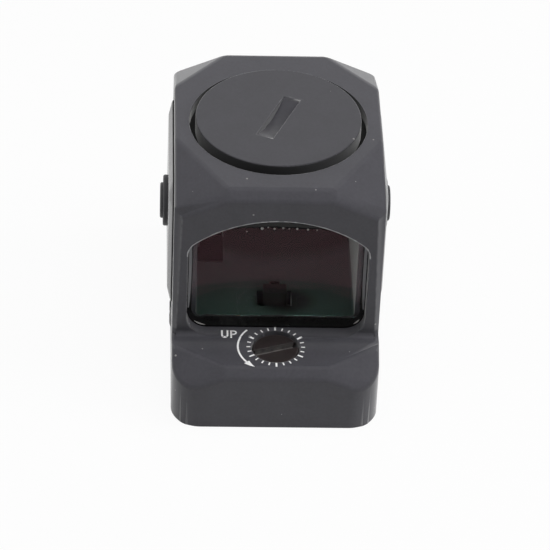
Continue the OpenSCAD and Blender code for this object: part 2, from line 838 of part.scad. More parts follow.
// Cap: a head with a round rim in the groove, and a hollow spigot that screws down over the cell.
module battery_cap() {
    head_top = body_height + cap_proud;
    groove_floor = thread_radius - 2 * cap_ring_section;
    ring_z = (z_cap_head + z_cap_crown) / 2;
    cutter = (pow(coin_slot_length / 2, 2) + pow(coin_slot_depth, 2)) / (2 * coin_slot_depth);
    color(alloy) translate([0, well_y, 0]) difference() {
        rotate_extrude() {
            translate([0, z_cap_head])
                square([cap_radius, head_top - z_cap_head - cap_rim_round]);
            translate([0, z_cap_head]) square([cap_radius - cap_rim_round, head_top - z_cap_head]);
            translate([cap_radius - cap_rim_round, head_top - cap_rim_round]) circle(cap_rim_round);
            translate([0, z_spigot + seat_gap]) square([thread_radius, z_cap_head - z_spigot]);
        }
        rod(cell_radius + pocket_gap, z_spigot - over, z_cap_crown);
        rotate_extrude()
            translate([groove_floor - running_fit, ring_z - cap_ring_section - running_fit])
                square([over, 2 * (cap_ring_section + running_fit)]);
        rotate([0, 0, coin_slot_angle])
            translate([0, coin_slot_width / 2, head_top - coin_slot_depth + cutter])
                rotate([90, 0, 0]) cylinder(r = cutter, h = coin_slot_width, $fn = 120);
    }
}

module battery_cap_o_ring() {
    color(rubber) translate([0, well_y, (z_cap_head + z_cap_crown) / 2]) rotate_extrude()
        translate([cap_ring_radius, 0]) circle(cap_ring_section);
}

module battery_cell() {
    rim = 0.9;
    step = 0.25;
    color(steel) translate([0, well_y, 0]) difference() {
        rod(cell_radius, z_cell, z_cell_top);
        difference() {
            rod(cell_radius + over, z_cell - over, z_cell + step);
            rod(cell_radius - rim, z_cell - 2 * over, z_cell + 2 * step);
        }
    }
}

// Plate with three curved fingers left by ring-shaped cuts.
module battery_minus_contact() {
    ring = cell_radius * 0.62;
    color(steel) translate([0, well_y, 0]) difference() {
        rod(ring, z_pocket, z_pocket + contact_thickness);
        for (turn = [0, 120, 240])
            rotate([0, 0, turn])
                translate([0, 0, z_pocket - over])
                    rotate_extrude(angle = 80)
                        translate([ring * 0.6, 0]) square([ring * 0.12, 3 * over]);
    }
}

module battery_plus_contact() {
    width = ribbon_width - 2 * pocket_gap;
    color(steel)
        box(
            ribbon_x + ribbon_thickness + seat_gap, -cell_radius - seat_gap,
            well_y - width / 2, well_y + width / 2, z_pocket + seat_gap, ribbon_top - seat_gap
        );
}

// Pad with bevelled edges, let into the side and bored for its button.
module side_pad(side) {
    bore = button_radius + 2 * running_fit;
    color([0.16, 0.16, 0.165]) on_pad(side) difference() {
        hull() {
            translate([0, 0, x_pad_inner + seat_gap])
                linear_extrude(pad_sink + pad_proud - pad_bevel_height - seat_gap)
                    rounded_rectangle(pad_height, pad_length, pad_radius, $fn = 32);
            translate([0, 0, half_w])
                linear_extrude(pad_proud)
                    rounded_rectangle(
                        pad_height - 2 * pad_bevel, pad_length - 2 * pad_bevel,
                        max(pad_radius - pad_bevel, 0.4), $fn = 32
                    );
        }
        rod(bore, 0, 2 * half_w);
    }
}

module left_side_pad() {
    side_pad(-1);
}

module right_side_pad() {
    side_pad(1);
}

// Button of revolution: a flange behind the pad, a shank in its bore and a raised round tip.
module button(side) {
    edge = button_tip * 0.6;
    shoulder = half_w + button_shoulder;
    tip_radius = button_tip_diameter / 2;
    color(rubber) on_pad(side) rotate_extrude() {
        translate([0, x_flange]) square([flange_radius, flange_thickness]);
        translate([0, x_flange]) square([button_radius, shoulder - edge - x_flange]);
        translate([0, x_flange]) square([button_radius - edge, shoulder - x_flange]);
        translate([button_radius - edge, shoulder - edge]) circle(edge);
        translate([0, x_flange]) square([tip_radius, shoulder + button_tip - edge - x_flange]);
        translate([0, x_flange]) square([tip_radius - edge, shoulder + button_tip - x_flange]);
        translate([tip_radius - edge, shoulder + button_tip - edge]) circle(edge);
    }
}

module left_button() {
    button(-1);
}

module right_button() {
    button(1);
}

// Snap dome: a cap of a large ball, flat at its foot.
module dome_switch(side) {
    rise = dome_height - seat_gap;
    ball = (pow(dome_diameter / 2, 2) + rise * rise) / (2 * rise);
    color(steel) on_pad(side) translate([0, 0, x_dome]) ball_cap(ball, rise);
}

module left_dome_switch() {
    dome_switch(-1);
}

module right_dome_switch() {
    dome_switch(1);
}

module switch_board_disc(side) {
    color([0.08, 0.25, 0.12]) on_pad(side)
        rod(switch_pocket_diameter / 2 - pocket_gap, x_switch_floor, x_switch_floor + switch_board);
}

module left_switch_board() {
    switch_board_disc(-1);
}

module right_switch_board() {
    switch_board_disc(1);
}

// Dial: a slotted head with flutes for the detent, a groove for its O-ring, and a shank grooved
// for its clip. The z axis points out of the surface.
module dial(reach, slot_angle) {
    top = -dial_sink;
    foot = top - dial_thickness;
    ring_z = foot + flute_height + dial_ring_section + 2 * running_fit;
    groove_half = dial_ring_section + running_fit;
    difference() {
        union() {
            rod(dial_radius, foot, top - dial_chamfer);
            translate([0, 0, top - dial_chamfer])
                cylinder(r1 = dial_radius, r2 = dial_radius - dial_chamfer, h = dial_chamfer);
            rod(shank_radius, -reach - clip_depth - seat_gap, foot + over / 2);
        }
        rotate([0, 0, slot_angle]) translate([0, 0, top - dial_slot_depth + over])
            cube([3 * dial_radius, dial_slot_width, 2 * over], center = true);
        rotate_extrude()
            translate([dial_radius - dial_groove, ring_z - groove_half])
                square([over, 2 * groove_half]);
        rotate_extrude()
            translate([shank_radius - clip_groove, -reach - clip_depth])
                square([over, clip_depth]);
        for (i = [0 : clicks - 1])
            rotate([0, 0, (i + 0.5) * 360 / clicks])
                translate([dial_radius, 0, foot - over]) cylinder(r = flute_radius, h = flute_height + over);
    }
}

module dial_o_ring() {
    foot = -dial_sink - dial_thickness;
    color(rubber) translate([0, 0, foot + flute_height + dial_ring_section + 2 * running_fit])
        rotate_extrude()
            translate([dial_radius + running_fit / 2 - dial_ring_section, 0]) circle(dial_ring_section);
}

// Open ring snapped into the groove of a shank.
module clip(reach) {
    bore = shank_radius - clip_groove + running_fit;
    top = -reach - seat_gap;
    color(steel) difference() {
        rod(clip_radius - seat_gap, top - clip_thickness, top);
        rod(bore, top - clip_thickness - over, top + over);
        box(0, clip_radius + over, -bore * 0.7, bore * 0.7, top - clip_thickness - over, top + over);
    }
}

module detent_ball() {
    color(steel) translate([ball_offset, 0, -flute_depth]) sphere(ball_radius);
}

// Round wire wound on a helix about the z axis, from z = 0 to a length, with flat ends.
module coil(radius, wire, length) {
    rings = 8;
    sides = 6;
    turns = floor((length - 2 * wire) / coil_pitch);
    steps = turns * rings;
    lead = (length - 2 * wire) / (360 * turns);
    at = [
        for (i = [0 : steps])
            let (a = i * 360 / rings) [radius * cos(a), radius * sin(a), wire + lead * a]
    ];
    echo("least gap of a coil to itself", min([
        for (i = [0 : steps - rings]) norm(at[i + rings] - at[i]) - 2 * wire
    ]));
    points = [
        for (i = [0 : steps], j = [0 : sides - 1])
            let (a = i * 360 / rings, b = j * 360 / sides, reach = radius + wire * cos(b))
                [reach * cos(a), reach * sin(a), at[i][2] + wire * sin(b)]
    ];
    walls = [
        for (i = [0 : steps - 1], j = [0 : sides - 1])
            let (k = (j + 1) % sides, a = i * sides, b = a + sides)
                each [[a + j, a + k, b + j], [a + k, b + k, b + j]]
    ];
    last = steps * sides;
    ends = [
        for (j = [1 : sides - 2])
            each [[0, j + 1, j], [last, last + j, last + j + 1]]
    ];
    polyhedron(points, concat(walls, ends));
}

module detent_spring() {
    start = ball_offset + ball_radius + running_fit;
    color(steel) translate([start, 0, -flute_depth]) rotate([0, 90, 0])
        coil(
            ball_radius - spring_wire - running_fit / 2, spring_wire,
            detent_length - ball_radius - 2 * running_fit
        );
}

// Elevation dial: its shank runs on as the screw that carries the nut of the carriage.
module elevation_dial() {
    screw_end = deck_height - z_carriage + emitter_travel + seat_gap;
    color([0.12, 0.10, 0.095]) on_deck() {
        dial(elevation_reach, elevation_slot_angle);
        rod(screw_radius, -screw_end, -elevation_reach);
    }
}

module elevation_o_ring() {
    on_deck() dial_o_ring();
}

module elevation_clip() {
    on_deck() clip(elevation_reach);
}

module elevation_detent_ball() {
    on_deck() rotate([0, 0, 180]) detent_ball();
}

module elevation_detent_spring() {
    on_deck() rotate([0, 0, 180]) detent_spring();
}

// Windage dial: its shank is bored for the plunger.
module windage_dial() {
    bore_end = windage_reach - dial_floor;
    color([0.12, 0.10, 0.095]) on_right_side() difference() {
        dial(windage_reach, windage_slot_angle);
        rod(plunger_radius + running_fit, -windage_reach - clip_depth - over, -windage_reach + bore_end);
    }
}

module windage_o_ring() {
    on_right_side() dial_o_ring();
}

module windage_clip() {
    on_right_side() rotate([0, 0, 180]) clip(windage_reach);
}

module windage_detent_ball() {
    on_right_side() rotate([0, 0, 90]) detent_ball();
}

module windage_detent_spring() {
    on_right_side() rotate([0, 0, 90]) detent_spring();
}

// Plunger between the dial's bore and the emitter block, free to travel both ways.
module windage_plunger() {
    inner = half_w - block_width / 2 - seat_gap;
    outer = dial_floor + dial_seat + emitter_travel;
    color(steel) on_right_side() rod(plunger_radius, -inner, -outer);
}

// Carriage: the nut of the elevation screw, an arm, two guide wings and the rail of the block.
module elevation_carriage() {
    wing = bay_half_width - running_fit;
    color([0.45, 0.36, 0.18]) difference() {
        union() {
            translate([0, y_elevation, 0]) rod(nut_radius, z_carriage, z_nut_top);
            box(-arm_width / 2, arm_width / 2, y_elevation, wing_front, z_carriage, z_slide);
            box(-wing, wing, wing_front - wing_depth, wing_front, z_carriage, z_slide);
            box(
                -block_width / 2 - 2 * emitter_travel, block_width / 2 + 2 * emitter_travel,
                rail_y - rail_width / 2, rail_y + rail_width / 2, z_carriage, z_slide + rail_height
            );
        }
        translate([0, y_elevation, 0]) rod(screw_radius + running_fit, z_carriage - over, z_nut_top + over);
    }
}

// Block with a groove for the rail, and the post that lifts the emitter into the tunnel.
module emitter_block() {
    half = block_width / 2;
    rear = y_bay_step + pocket_gap;
    color([0.14, 0.14, 0.145]) difference() {
        union() {
            box(-half, half, rear, post_front, z_block, z_block + block_height);
            box(-post_width / 2, post_width / 2, post_front - post_depth, post_front, z_block, z_post);
        }
        box(
            -base_width, base_width, rail_y - rail_width / 2 - running_fit,
            rail_y + rail_width / 2 + running_fit, z_block - over, z_slide + rail_height + seat_gap
        );
    }
}

module emitter() {
    color([0.85, 0.2, 0.15])
        box(
            -emitter_size / 2, emitter_size / 2, post_front, post_front + emitter_thickness,
            z_emitter - emitter_size / 2, z_emitter + emitter_size / 2
        );
}

module emitter_mask() {
    start = post_front + emitter_thickness;
    half = emitter_size / 2 + mask_thickness;
    color(rubber) difference() {
        box(-half, half, start, start + mask_thickness, z_emitter - half, z_emitter + half);
        translate([0, start - over, z_emitter]) rotate([-90, 0, 0])
            cylinder(r = pinhole_radius, h = 3 * over);
    }
}

module elevation_springs() {
    color(steel) both_sides()
        translate([elevation_spring_x, wing_front - wing_depth / 2, z_slide + seat_gap])
            coil(elevation_spring_radius, spring_wire, z_bay - z_slide - 2 * seat_gap);
}

module windage_spring() {
    color(steel) translate([-bay_half_width + seat_gap, y_windage, z_windage]) rotate([0, 90, 0])
        coil(windage_spring_radius, spring_wire, bay_half_width - block_width / 2 - 2 * seat_gap);
}

module circuit_board() {
    color([0.05, 0.25, 0.10]) difference() {
        box(-board_half, board_half, board_rear, board_front, board_top - board_thickness, board_top);
        board_screw_places() rod(board_screw_radius + running_fit, 0, z_bay);
    }
}

module controller_chip() {
    middle = (board_rear + board_front) / 2;
    top = board_top - board_thickness - seat_gap;
    color([0.05, 0.05, 0.055])
        box(
            -chip_size / 2, chip_size / 2, middle - chip_size / 2, middle + chip_size / 2,
            top - chip_thickness, top
        );
}

module circuit_board_screws() {
    seat = board_top - board_thickness - seat_gap;
    color(steel) board_screw_places() {
        rod(board_screw_radius, seat - board_screw_head, z_bay + board_screw_bite - seat_gap);
        rod(2 * board_screw_radius, seat - board_screw_head, seat);
    }
}

// Flat ribbon: down the left wall of the tunnel, across its floor and down to the board.
module battery_ribbon() {
    far = ribbon_rear + ribbon_width;
    drop_far = ribbon_drop_y + ribbon_width;
    color([0.08, 0.08, 0.085]) {
        box(ribbon_x, ribbon_x + ribbon_thickness, ribbon_rear, far, ribbon_z, ribbon_top);
        box(ribbon_x, ribbon_drop_x, ribbon_rear, far, ribbon_z, ribbon_z + ribbon_thickness);
        box(
            ribbon_drop_x - ribbon_width, ribbon_drop_x + ribbon_thickness, ribbon_rear, drop_far,
            ribbon_z, ribbon_z + ribbon_thickness
        );
        box(
            ribbon_drop_x, ribbon_drop_x + ribbon_thickness, ribbon_drop_y, drop_far,
            board_top + seat_gap, ribbon_z + ribbon_thickness
        );
    }
}

// Cover over both bays, countersunk for its screws.
module base_cover() {
    color(alloy) difference() {
        translate([0, 0, cover_rise]) linear_extrude(cover_thickness) cover_plan();
        cover_screw_places() {
            rod(cover_screw_radius + running_fit, 0, z_cover_seat);
            translate([0, 0, cover_rise])
                cylinder(
                    r1 = 1.7 * cover_screw_radius + running_fit, r2 = cover_screw_radius + running_fit,
                    h = cover_thickness / 2
                );
        }
    }
}

module base_cover_gasket() {
    color(rubber) difference() {
        translate([0, 0, z_cover_top + seat_gap / 2]) linear_extrude(cover_gasket - seat_gap)
            cover_plan();
        translate([0, 0, z_cover_top - over]) linear_extrude(3 * over) bay_plan(pocket_gap, pocket_gap);
        cover_screw_places() rod(cover_screw_radius + running_fit, 0, 3 * over);
    }
}

module base_cover_screws() {
    color(steel) cover_screw_places() {
        rod(cover_screw_radius, cover_rise, cover_screw_length);
        translate([0, 0, cover_rise])
            cylinder(r1 = 1.7 * cover_screw_radius, r2 = cover_screw_radius, h = cover_thickness / 2);
    }
}

// Round nut turned by a bar through the side of the base.
module mount_nut(side) {
    radius = mount_nut_diameter / 2;
    color(steel) translate([side * mount_x, mount_y, z_nut]) difference() {
        rod(radius, 0, mount_nut_height);
        rod(mount_nut_bore / 2, -over, mount_nut_height + over);
        for (i = [0 : bar_holes - 1])
            rotate([0, 0, i * 360 / bar_holes])
                translate([radius - bar_hole_diameter, 0, mount_nut_height / 2]) rotate([0, 90, 0])
                    cylinder(r = bar_hole_diameter / 2, h = radius);
    }
}

module left_mount_nut() {
    mount_nut(-1);
}

module right_mount_nut() {
    mount_nut(1);
}

housing();
rear_window();
rear_window_gasket();
front_lens_outer();
front_lens_inner();
front_lens_gasket();
battery_cap();
battery_cap_o_ring();
battery_cell();
battery_minus_contact();
battery_plus_contact();
left_side_pad();
right_side_pad();
left_button();
right_button();
left_dome_switch();
right_dome_switch();
left_switch_board();
right_switch_board();
elevation_dial();
elevation_o_ring();
elevation_clip();
elevation_detent_ball();
elevation_detent_spring();
windage_dial();
windage_o_ring();
windage_clip();
windage_detent_ball();
windage_detent_spring();
windage_plunger();
elevation_carriage();
emitter_block();
emitter();
emitter_mask();
elevation_springs();
windage_spring();
circuit_board();
controller_chip();
circuit_board_screws();
battery_ribbon();
base_cover();
base_cover_gasket();
base_cover_screws();
left_mount_nut();
right_mount_nut();
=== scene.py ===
# %% [markdown]
# # An enclosed red dot sight, dressed for its photograph
#
# The solids of the sight come from CAD, in metres, and stay where they are. This lesson gives every solid
# a finish, eases the machined edges, and adds what the drawing leaves to the workshop: a bead of sealant,
# white marks on the deck and a thread on the battery cap. The springs get smoothly shaded copies.

# %% Load the solids
import json
import math

import bmesh
import bpy
import numpy as np
from mathutils import Matrix, Vector


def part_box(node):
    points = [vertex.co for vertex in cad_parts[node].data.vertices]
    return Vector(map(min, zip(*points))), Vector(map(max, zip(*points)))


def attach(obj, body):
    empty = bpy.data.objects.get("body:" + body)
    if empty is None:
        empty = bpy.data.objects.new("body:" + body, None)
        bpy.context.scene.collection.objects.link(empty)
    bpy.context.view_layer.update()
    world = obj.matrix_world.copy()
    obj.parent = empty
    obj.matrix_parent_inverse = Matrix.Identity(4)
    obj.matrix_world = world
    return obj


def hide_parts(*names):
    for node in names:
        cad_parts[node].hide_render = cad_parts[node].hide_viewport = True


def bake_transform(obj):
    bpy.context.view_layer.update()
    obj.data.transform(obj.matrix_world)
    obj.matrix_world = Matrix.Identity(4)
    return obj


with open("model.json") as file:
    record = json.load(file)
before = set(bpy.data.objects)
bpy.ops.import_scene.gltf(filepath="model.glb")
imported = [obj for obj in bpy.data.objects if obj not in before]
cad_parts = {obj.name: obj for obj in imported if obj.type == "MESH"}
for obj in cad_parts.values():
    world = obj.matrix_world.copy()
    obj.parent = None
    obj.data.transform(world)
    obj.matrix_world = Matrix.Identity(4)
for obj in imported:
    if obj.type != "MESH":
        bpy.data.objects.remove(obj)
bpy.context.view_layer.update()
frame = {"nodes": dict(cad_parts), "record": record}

MM = 0.001

# %% [markdown]
# ## The camera
#
# The picture was taken from behind and above with a long lens, and slightly askew. A camera could be aimed
# at a target by eye. Here its place and its three turns were solved from corners of the sight, so they are
# written as they are: yaw about the vertical, pitch down to the deck, and a small roll.

# %% Camera
IMAGE_SIDE = 550
FOCAL_PIXELS = 3439.9
EYE = np.array([-20.09, -374.84, 303.74]) * MM
YAW, PITCH, ROLL = np.radians([3.125, -38.16, 2.632])

ahead = np.array([np.sin(YAW) * np.cos(PITCH), np.cos(YAW) * np.cos(PITCH), np.sin(PITCH)])
level = np.array([np.cos(YAW), -np.sin(YAW), 0.0])
upright = np.cross(level, ahead)
right = level * np.cos(ROLL) + upright * np.sin(ROLL)
up = upright * np.cos(ROLL) - level * np.sin(ROLL)

lens = bpy.data.cameras.new("camera")
lens.lens = lens.sensor_width * FOCAL_PIXELS / IMAGE_SIDE
lens.clip_start, lens.clip_end = 0.01, 50
camera = bpy.data.objects.new("camera", lens)
turned_and_placed = np.column_stack([right, up, -ahead, EYE])
camera.matrix_world = Matrix(np.vstack([turned_and_placed, [0, 0, 0, 1]]).tolist())
bpy.context.scene.collection.objects.link(camera)
bpy.context.scene.camera = camera
print("camera lens, mm:", round(lens.lens, 1))

# %% [markdown]
# ## Writing shaders as sums
#
# A finish is a graph of nodes, and drawing it by hand in code takes many lines. Two small classes keep it
# short. A wire is a socket that can be added, multiplied and compared, and each such step adds one Math
# node. A finish holds a material and has one method that makes any other node.

# %% Wires
class Wire:
    """A socket that takes part in sums. Every operator adds a Math node and hands on its output."""

    def __init__(self, finish, socket):
        self.finish, self.socket = finish, socket

    def also(self, output):
        """Another output of the same node."""
        return Wire(self.finish, self.socket.node.outputs[output])

    def __add__(self, other):
        return self.finish.maths("ADD", self, other)

    def __sub__(self, other):
        return self.finish.maths("SUBTRACT", self, other)

    def __rsub__(self, other):
        return self.finish.maths("SUBTRACT", other, self)

    def __mul__(self, other):
        return self.finish.maths("MULTIPLY", self, other)

    def __truediv__(self, other):
        return self.finish.maths("DIVIDE", self, other)

    def __pow__(self, other):
        return self.finish.maths("POWER", self, other)

    def __lt__(self, other):
        return self.finish.maths("LESS_THAN", self, other)

    def __gt__(self, other):
        return self.finish.maths("GREATER_THAN", self, other)

    __radd__, __rmul__ = __add__, __mul__


print("sums that a wire takes part in: + - * / ** < >")

# %% [markdown]
# Most finishes need the same few nodes: a mix of two colours, clouds of noise, the wear of an edge and a
# bump. A node group could hold each of them, but plain nodes are easier to follow in the shader editor, so
# they are short methods of a finish.

# %% Finishes
class Finish:
    """A material, or the world, with the one method that adds nodes to it."""

    def __init__(self, owner, **fixed):
        self.owner = owner
        owner.use_nodes = True
        self.tree = owner.node_tree
        self.shader = self.tree.nodes.get("Principled BSDF")
        for socket, value in fixed.items():
            self.shader.inputs[socket.replace("_", " ")].default_value = value

    def node(self, kind, settings=None, sockets=None, out=0):
        """A node of a kind: its settings first, then the value or the wire of each socket."""
        made = self.tree.nodes.new("ShaderNode" + kind)
        for name, value in (settings or {}).items():
            setattr(made, name, value)
        for key, value in (sockets or {}).items():
            self.link(value, made.inputs[key])
        return Wire(self, made.outputs[out])

    def link(self, value, socket):
        """Joins a wire to a socket, or writes a plain value into it."""
        if isinstance(value, Wire):
            self.tree.links.new(value.socket, socket)
        else:
            socket.default_value = value

    def put(self, **sockets):
        """Joins wires to sockets of the shader, such as Base_Color=wire."""
        for name, value in sockets.items():
            self.link(value, self.shader.inputs[name.replace("_", " ")])

    def maths(self, operation, *terms):
        """One Math node on wires and numbers."""
        return self.node("Math", {"operation": operation}, dict(enumerate(terms)))

    def mix(self, factor, first, second):
        """From the first colour to the second as the factor goes from 0 to 1."""
        return self.node("Mix", {"data_type": "RGBA"}, {0: factor, 6: first, 7: second}, out=2)

    def place(self):
        """Object coordinates, in metres."""
        return self.node("TexCoord", out="Object")

    def noise(self, place, size_mm, detail=2.0):
        """Cloudy noise from 0 to 1 whose lumps are about this many millimetres across."""
        return self.node("TexNoise", sockets={"Vector": place, "Scale": 1 / (size_mm * MM), "Detail": detail})

    def wear(self):
        """The wear that an eased piece carries on its rounded edges, and 0 on any other piece."""
        return self.node("Attribute", {"attribute_name": "eased"}, out="Fac")

    def bump(self, height, depth_mm, strength):
        """A normal that leans as if the surface rose by this many millimetres where the height is 1."""
        return self.node("Bump", sockets={"Strength": strength, "Distance": depth_mm * MM, "Height": height})


def finish(name, **fixed):
    """A new material on the standard shader, with the sockets that stay the same all over."""
    return Finish(bpy.data.materials.new(name), **fixed)


def grey(level):
    """An opaque grey of a level from 0 to 1."""
    return (level, level, level, 1)


def shades(colour, low, high):
    """A darker and a lighter opaque shade of a colour."""
    return [(*(np.array(colour) * k), 1) for k in (low, high)]


print("shader helpers ready")

# %% [markdown]
# ## Floor and light
#
# The sight was photographed in a white light tent, so it is lit from everywhere, and most from above. The
# floor is a plain disc and the world is white. To the camera, and in mirrors and glass, both show as white,
# while their light on the sight stays at a plain level. The floor lets part of its true shade through,
# which keeps the soft shadow under the base.

# %% Meshes from arrays
def grid_faces(rows, columns, wrap_rows=False, wrap_columns=False):
    """Quads between neighbours on a grid that is stored row by row. A wrapped side joins its start."""
    last_row, last_column = rows - (not wrap_rows), columns - (not wrap_columns)
    i, j = np.meshgrid(np.arange(last_row), np.arange(last_column), indexing="ij")
    i, j = i.ravel(), j.ravel()
    below, beside = (i + 1) % rows, (j + 1) % columns
    corners = [i * columns + j, i * columns + beside, below * columns + beside, below * columns + j]
    return np.stack(corners, -1)


def disc(radius, rings, spokes):
    """Points (r cos a, r sin a, 0) for rings of r and spokes of a, with one point at the middle."""
    r = np.linspace(0, radius, rings + 1)[1:]
    r, a = np.meshgrid(r, np.arange(spokes) * 2 * np.pi / spokes, indexing="ij")
    rim = np.stack([r * np.cos(a), r * np.sin(a), 0 * r], -1).reshape(-1, 3)
    j = np.arange(spokes)
    fan = np.stack([0 * j, 1 + j, 1 + (j + 1) % spokes], -1)
    quads = grid_faces(rings, spokes, wrap_columns=True) + 1
    return np.vstack([np.zeros((1, 3)), rim]), fan.tolist() + quads[:, ::-1].tolist()


def placed(name, mesh):
    """An object at the origin whose place is in its mesh."""
    made = bpy.data.objects.new(name, mesh)
    bpy.context.scene.collection.objects.link(made)
    return made


def mesh_object(name, points, faces):
    """An object from points in metres and faces by number."""
    mesh = bpy.data.meshes.new(name)
    mesh.from_pydata(np.asarray(points).tolist(), [], [list(face) for face in faces])
    return placed(name, mesh)


FLOOR_RADIUS, FLOOR_RINGS, FLOOR_SPOKES, FLOOR_DROP = 4.0, 8, 64, 0.02
floor = mesh_object("floor", *disc(FLOOR_RADIUS, FLOOR_RINGS, FLOOR_SPOKES))
floor.data.transform(Matrix.Translation((0, 0, -FLOOR_DROP * MM)))
print("floor points:", len(floor.data.vertices))

# %% [markdown]
# A ray that comes straight from the camera, off a gloss or through glass sees the floor's glow, and the
# rays that carry soft light see matt paper. From below, the floor is clear.

# %% Floor and world
def seen_directly(stage_finish):
    """1 for rays from the camera, off a gloss or through glass, and 0 for those that carry soft light."""
    path = stage_finish.node("LightPath", out="Is Camera Ray")
    bent = stage_finish.maths("MAXIMUM", path.also("Is Glossy Ray"), path.also("Is Transmission Ray"))
    return stage_finish.maths("MAXIMUM", path, bent)


FLOOR_SHARE, FIBRE = 0.94, 3
PAPER_DARK, PAPER_LIGHT, WHITE = grey(0.7), grey(0.74), grey(1)
paper = finish("white_paper")
glow = paper.node("Emission", sockets={"Color": WHITE, "Strength": 1.0})
fibre = paper.noise(paper.place(), FIBRE)
matt = paper.node("BsdfDiffuse", sockets={"Color": paper.mix(fibre, PAPER_DARK, PAPER_LIGHT)})
shown = paper.node("MixShader", sockets={0: seen_directly(paper) * FLOOR_SHARE, 1: matt, 2: glow})
behind = paper.node("NewGeometry", out="Backfacing")
open_back = paper.node("MixShader", sockets={0: behind, 1: shown, 2: paper.node("BsdfTransparent")})
paper.link(open_back, paper.tree.nodes["Material Output"].inputs["Surface"])
floor.data.materials.append(paper.owner)

WORLD_LIGHT = 0.03
world = bpy.data.worlds.new("light_tent")
bpy.context.scene.world = world
tent = Finish(world)
sky = tent.tree.nodes["Background"].inputs
tent.link(WORLD_LIGHT + seen_directly(tent) * (1 - WORLD_LIGHT), sky["Strength"])
tent.link(WHITE, sky["Color"])
bpy.context.scene.view_settings.view_transform = "Standard"
print("share of the floor that glows:", FLOOR_SHARE)

# %% [markdown]
# Four soft boxes shape the faces: a large one overhead, one at each side, the right one stronger, and a low
# one far behind the sight. Their own shapes stay out of the gloss, where the white tent is all that shows.

# %% Soft boxes
def soft_box(name, place, size, watts):
    """A square lamp at a place, turned towards the middle of the sight."""
    lamp = bpy.data.lights.new(name, "AREA")
    lamp.size, lamp.energy = size, watts
    made = bpy.data.objects.new(name, lamp)
    made.location = place
    made.rotation_euler = (Vector(AIM) - Vector(place)).to_track_quat("-Z", "Y").to_euler()
    made.visible_camera = made.visible_glossy = False
    bpy.context.scene.collection.objects.link(made)


AIM = (0, 0, 0.02)
soft_box("overhead_box", (0.1, -0.07, 0.75), size=0.7, watts=5.1)
soft_box("right_box", (0.6, -0.05, 0.45), size=0.35, watts=2.2)
soft_box("left_box", (-0.6, -0.05, 0.45), size=0.35, watts=0.6)
soft_box("back_box", (0.1, 2.2, 0.22), size=0.4, watts=4)

# %% [markdown]
# ## Black anodised alloy
#
# The housing is milled from aluminium, blasted with fine beads and dyed black. Up close the skin is a field
# of tiny pits, over some millimetres its grey drifts a little, light dust sticks to it, and the dye is
# rubbed off the eased edges. The sealed pores form a thin clear coat, which whitens faces that are seen at
# a grazing angle. Painted pictures could hold all that, but noise on Object coordinates has no seams and
# stays sharp at any distance.

# %% Anodised finish
def grains(surface, place, cell_mm, reach, share):
    """Round specks: one in each Voronoi cell, kept where the cell's random number is under a share."""
    near = surface.node("TexVoronoi", sockets={"Vector": place, "Scale": 1 / (cell_mm * MM)})
    draw = surface.node("SeparateColor", sockets={"Color": near.also("Color")})
    size = draw.also("Green") * (reach * 0.7) + reach * 0.3
    return (near < size) * (draw < share)


def anodised(name, colour, rough, dust=0.05, rubbed=0.12):
    """Blasted and dyed alloy: drifting grey, fine pits, dust, and lighter metal along the eased edges."""
    skin = finish(
        name, IOR=1.5, Specular_IOR_Level=0.1, Sheen_Weight=0.6, Sheen_Roughness=0.4,
        Coat_Weight=0.4, Coat_Roughness=0.2, Coat_IOR=1.4
    )
    place = skin.place()
    drift = skin.noise(place, 3.5, detail=4.0)
    pits = skin.noise(place, 0.09)
    smear = skin.noise(place, 1.1, detail=5.0)
    mottle = skin.noise(place, 0.4, detail=3.0)
    tone = skin.mix(drift * 0.5 + mottle * 0.5, *shades(colour, 0.7, 1.3))
    worn = skin.wear() * rubbed * (smear * 1.6 - 0.3)
    tone = skin.mix(worn, tone, BARE_METAL)
    specks = grains(skin, place, cell_mm=0.9, reach=0.17, share=dust)
    tone = skin.mix(specks * 0.6, tone, DUST)
    skin.put(Base_Color=tone, Roughness=rough + (drift - 0.5) * 0.14 - worn * 0.2)
    skin.put(Normal=skin.bump(pits, depth_mm=0.012, strength=0.5))
    return skin


BARE_METAL, DUST = (0.6, 0.6, 0.61, 1), (0.4, 0.39, 0.38, 1)
ALLOY_GREY = (0.056, 0.055, 0.064)
alloy = anodised("anodised_alloy", ALLOY_GREY, rough=0.5)
print("alloy nodes:", len(alloy.tree.nodes))

# %% [markdown]
# Paint, soot and wear follow the place on the sight, so a few helpers turn a place into a mask from 0 to 1:
# a box, the distance from an axis, and a soft step. Two more lay a colour over a finish and dull it where a
# mask is 1. Second materials would do the same, but the housing is one piece of metal.

# %% Masks
def inside_box(surface, place, middle, half):
    """1 where |p - middle| is less than half along x, y and z, and 0 elsewhere."""
    away = surface.node("VectorMath", {"operation": "SUBTRACT"}, {0: place, 1: middle})
    away = surface.node("VectorMath", {"operation": "ABSOLUTE"}, {0: away})
    axes = surface.node("SeparateXYZ", sockets={0: away})
    return (axes < half[0]) * (axes.also("Y") < half[1]) * (axes.also("Z") < half[2])


def off_axis(surface, place, axis_point, across):
    """Distance from an axis through a point: the length of what is left of the place across the axis."""
    away = surface.node("VectorMath", {"operation": "SUBTRACT"}, {0: place, 1: axis_point})
    flat = surface.node("VectorMath", {"operation": "MULTIPLY"}, {0: away, 1: across})
    return surface.node("VectorMath", {"operation": "LENGTH"}, {0: flat}, out="Value")


def ease_between(surface, value, start, end):
    """0 before a start, 1 after an end, and an S-curve between them."""
    limits = {"Value": value, "From Min": start, "From Max": end}
    return surface.node("MapRange", {"interpolation_type": "SMOOTHSTEP"}, limits)


def over_base(surface, mask, colour):
    """Lays a colour over whatever feeds Base Color, where a mask is 1."""
    before = Wire(surface, surface.shader.inputs["Base Color"].links[0].from_socket)
    surface.put(Base_Color=surface.mix(mask, before, colour))


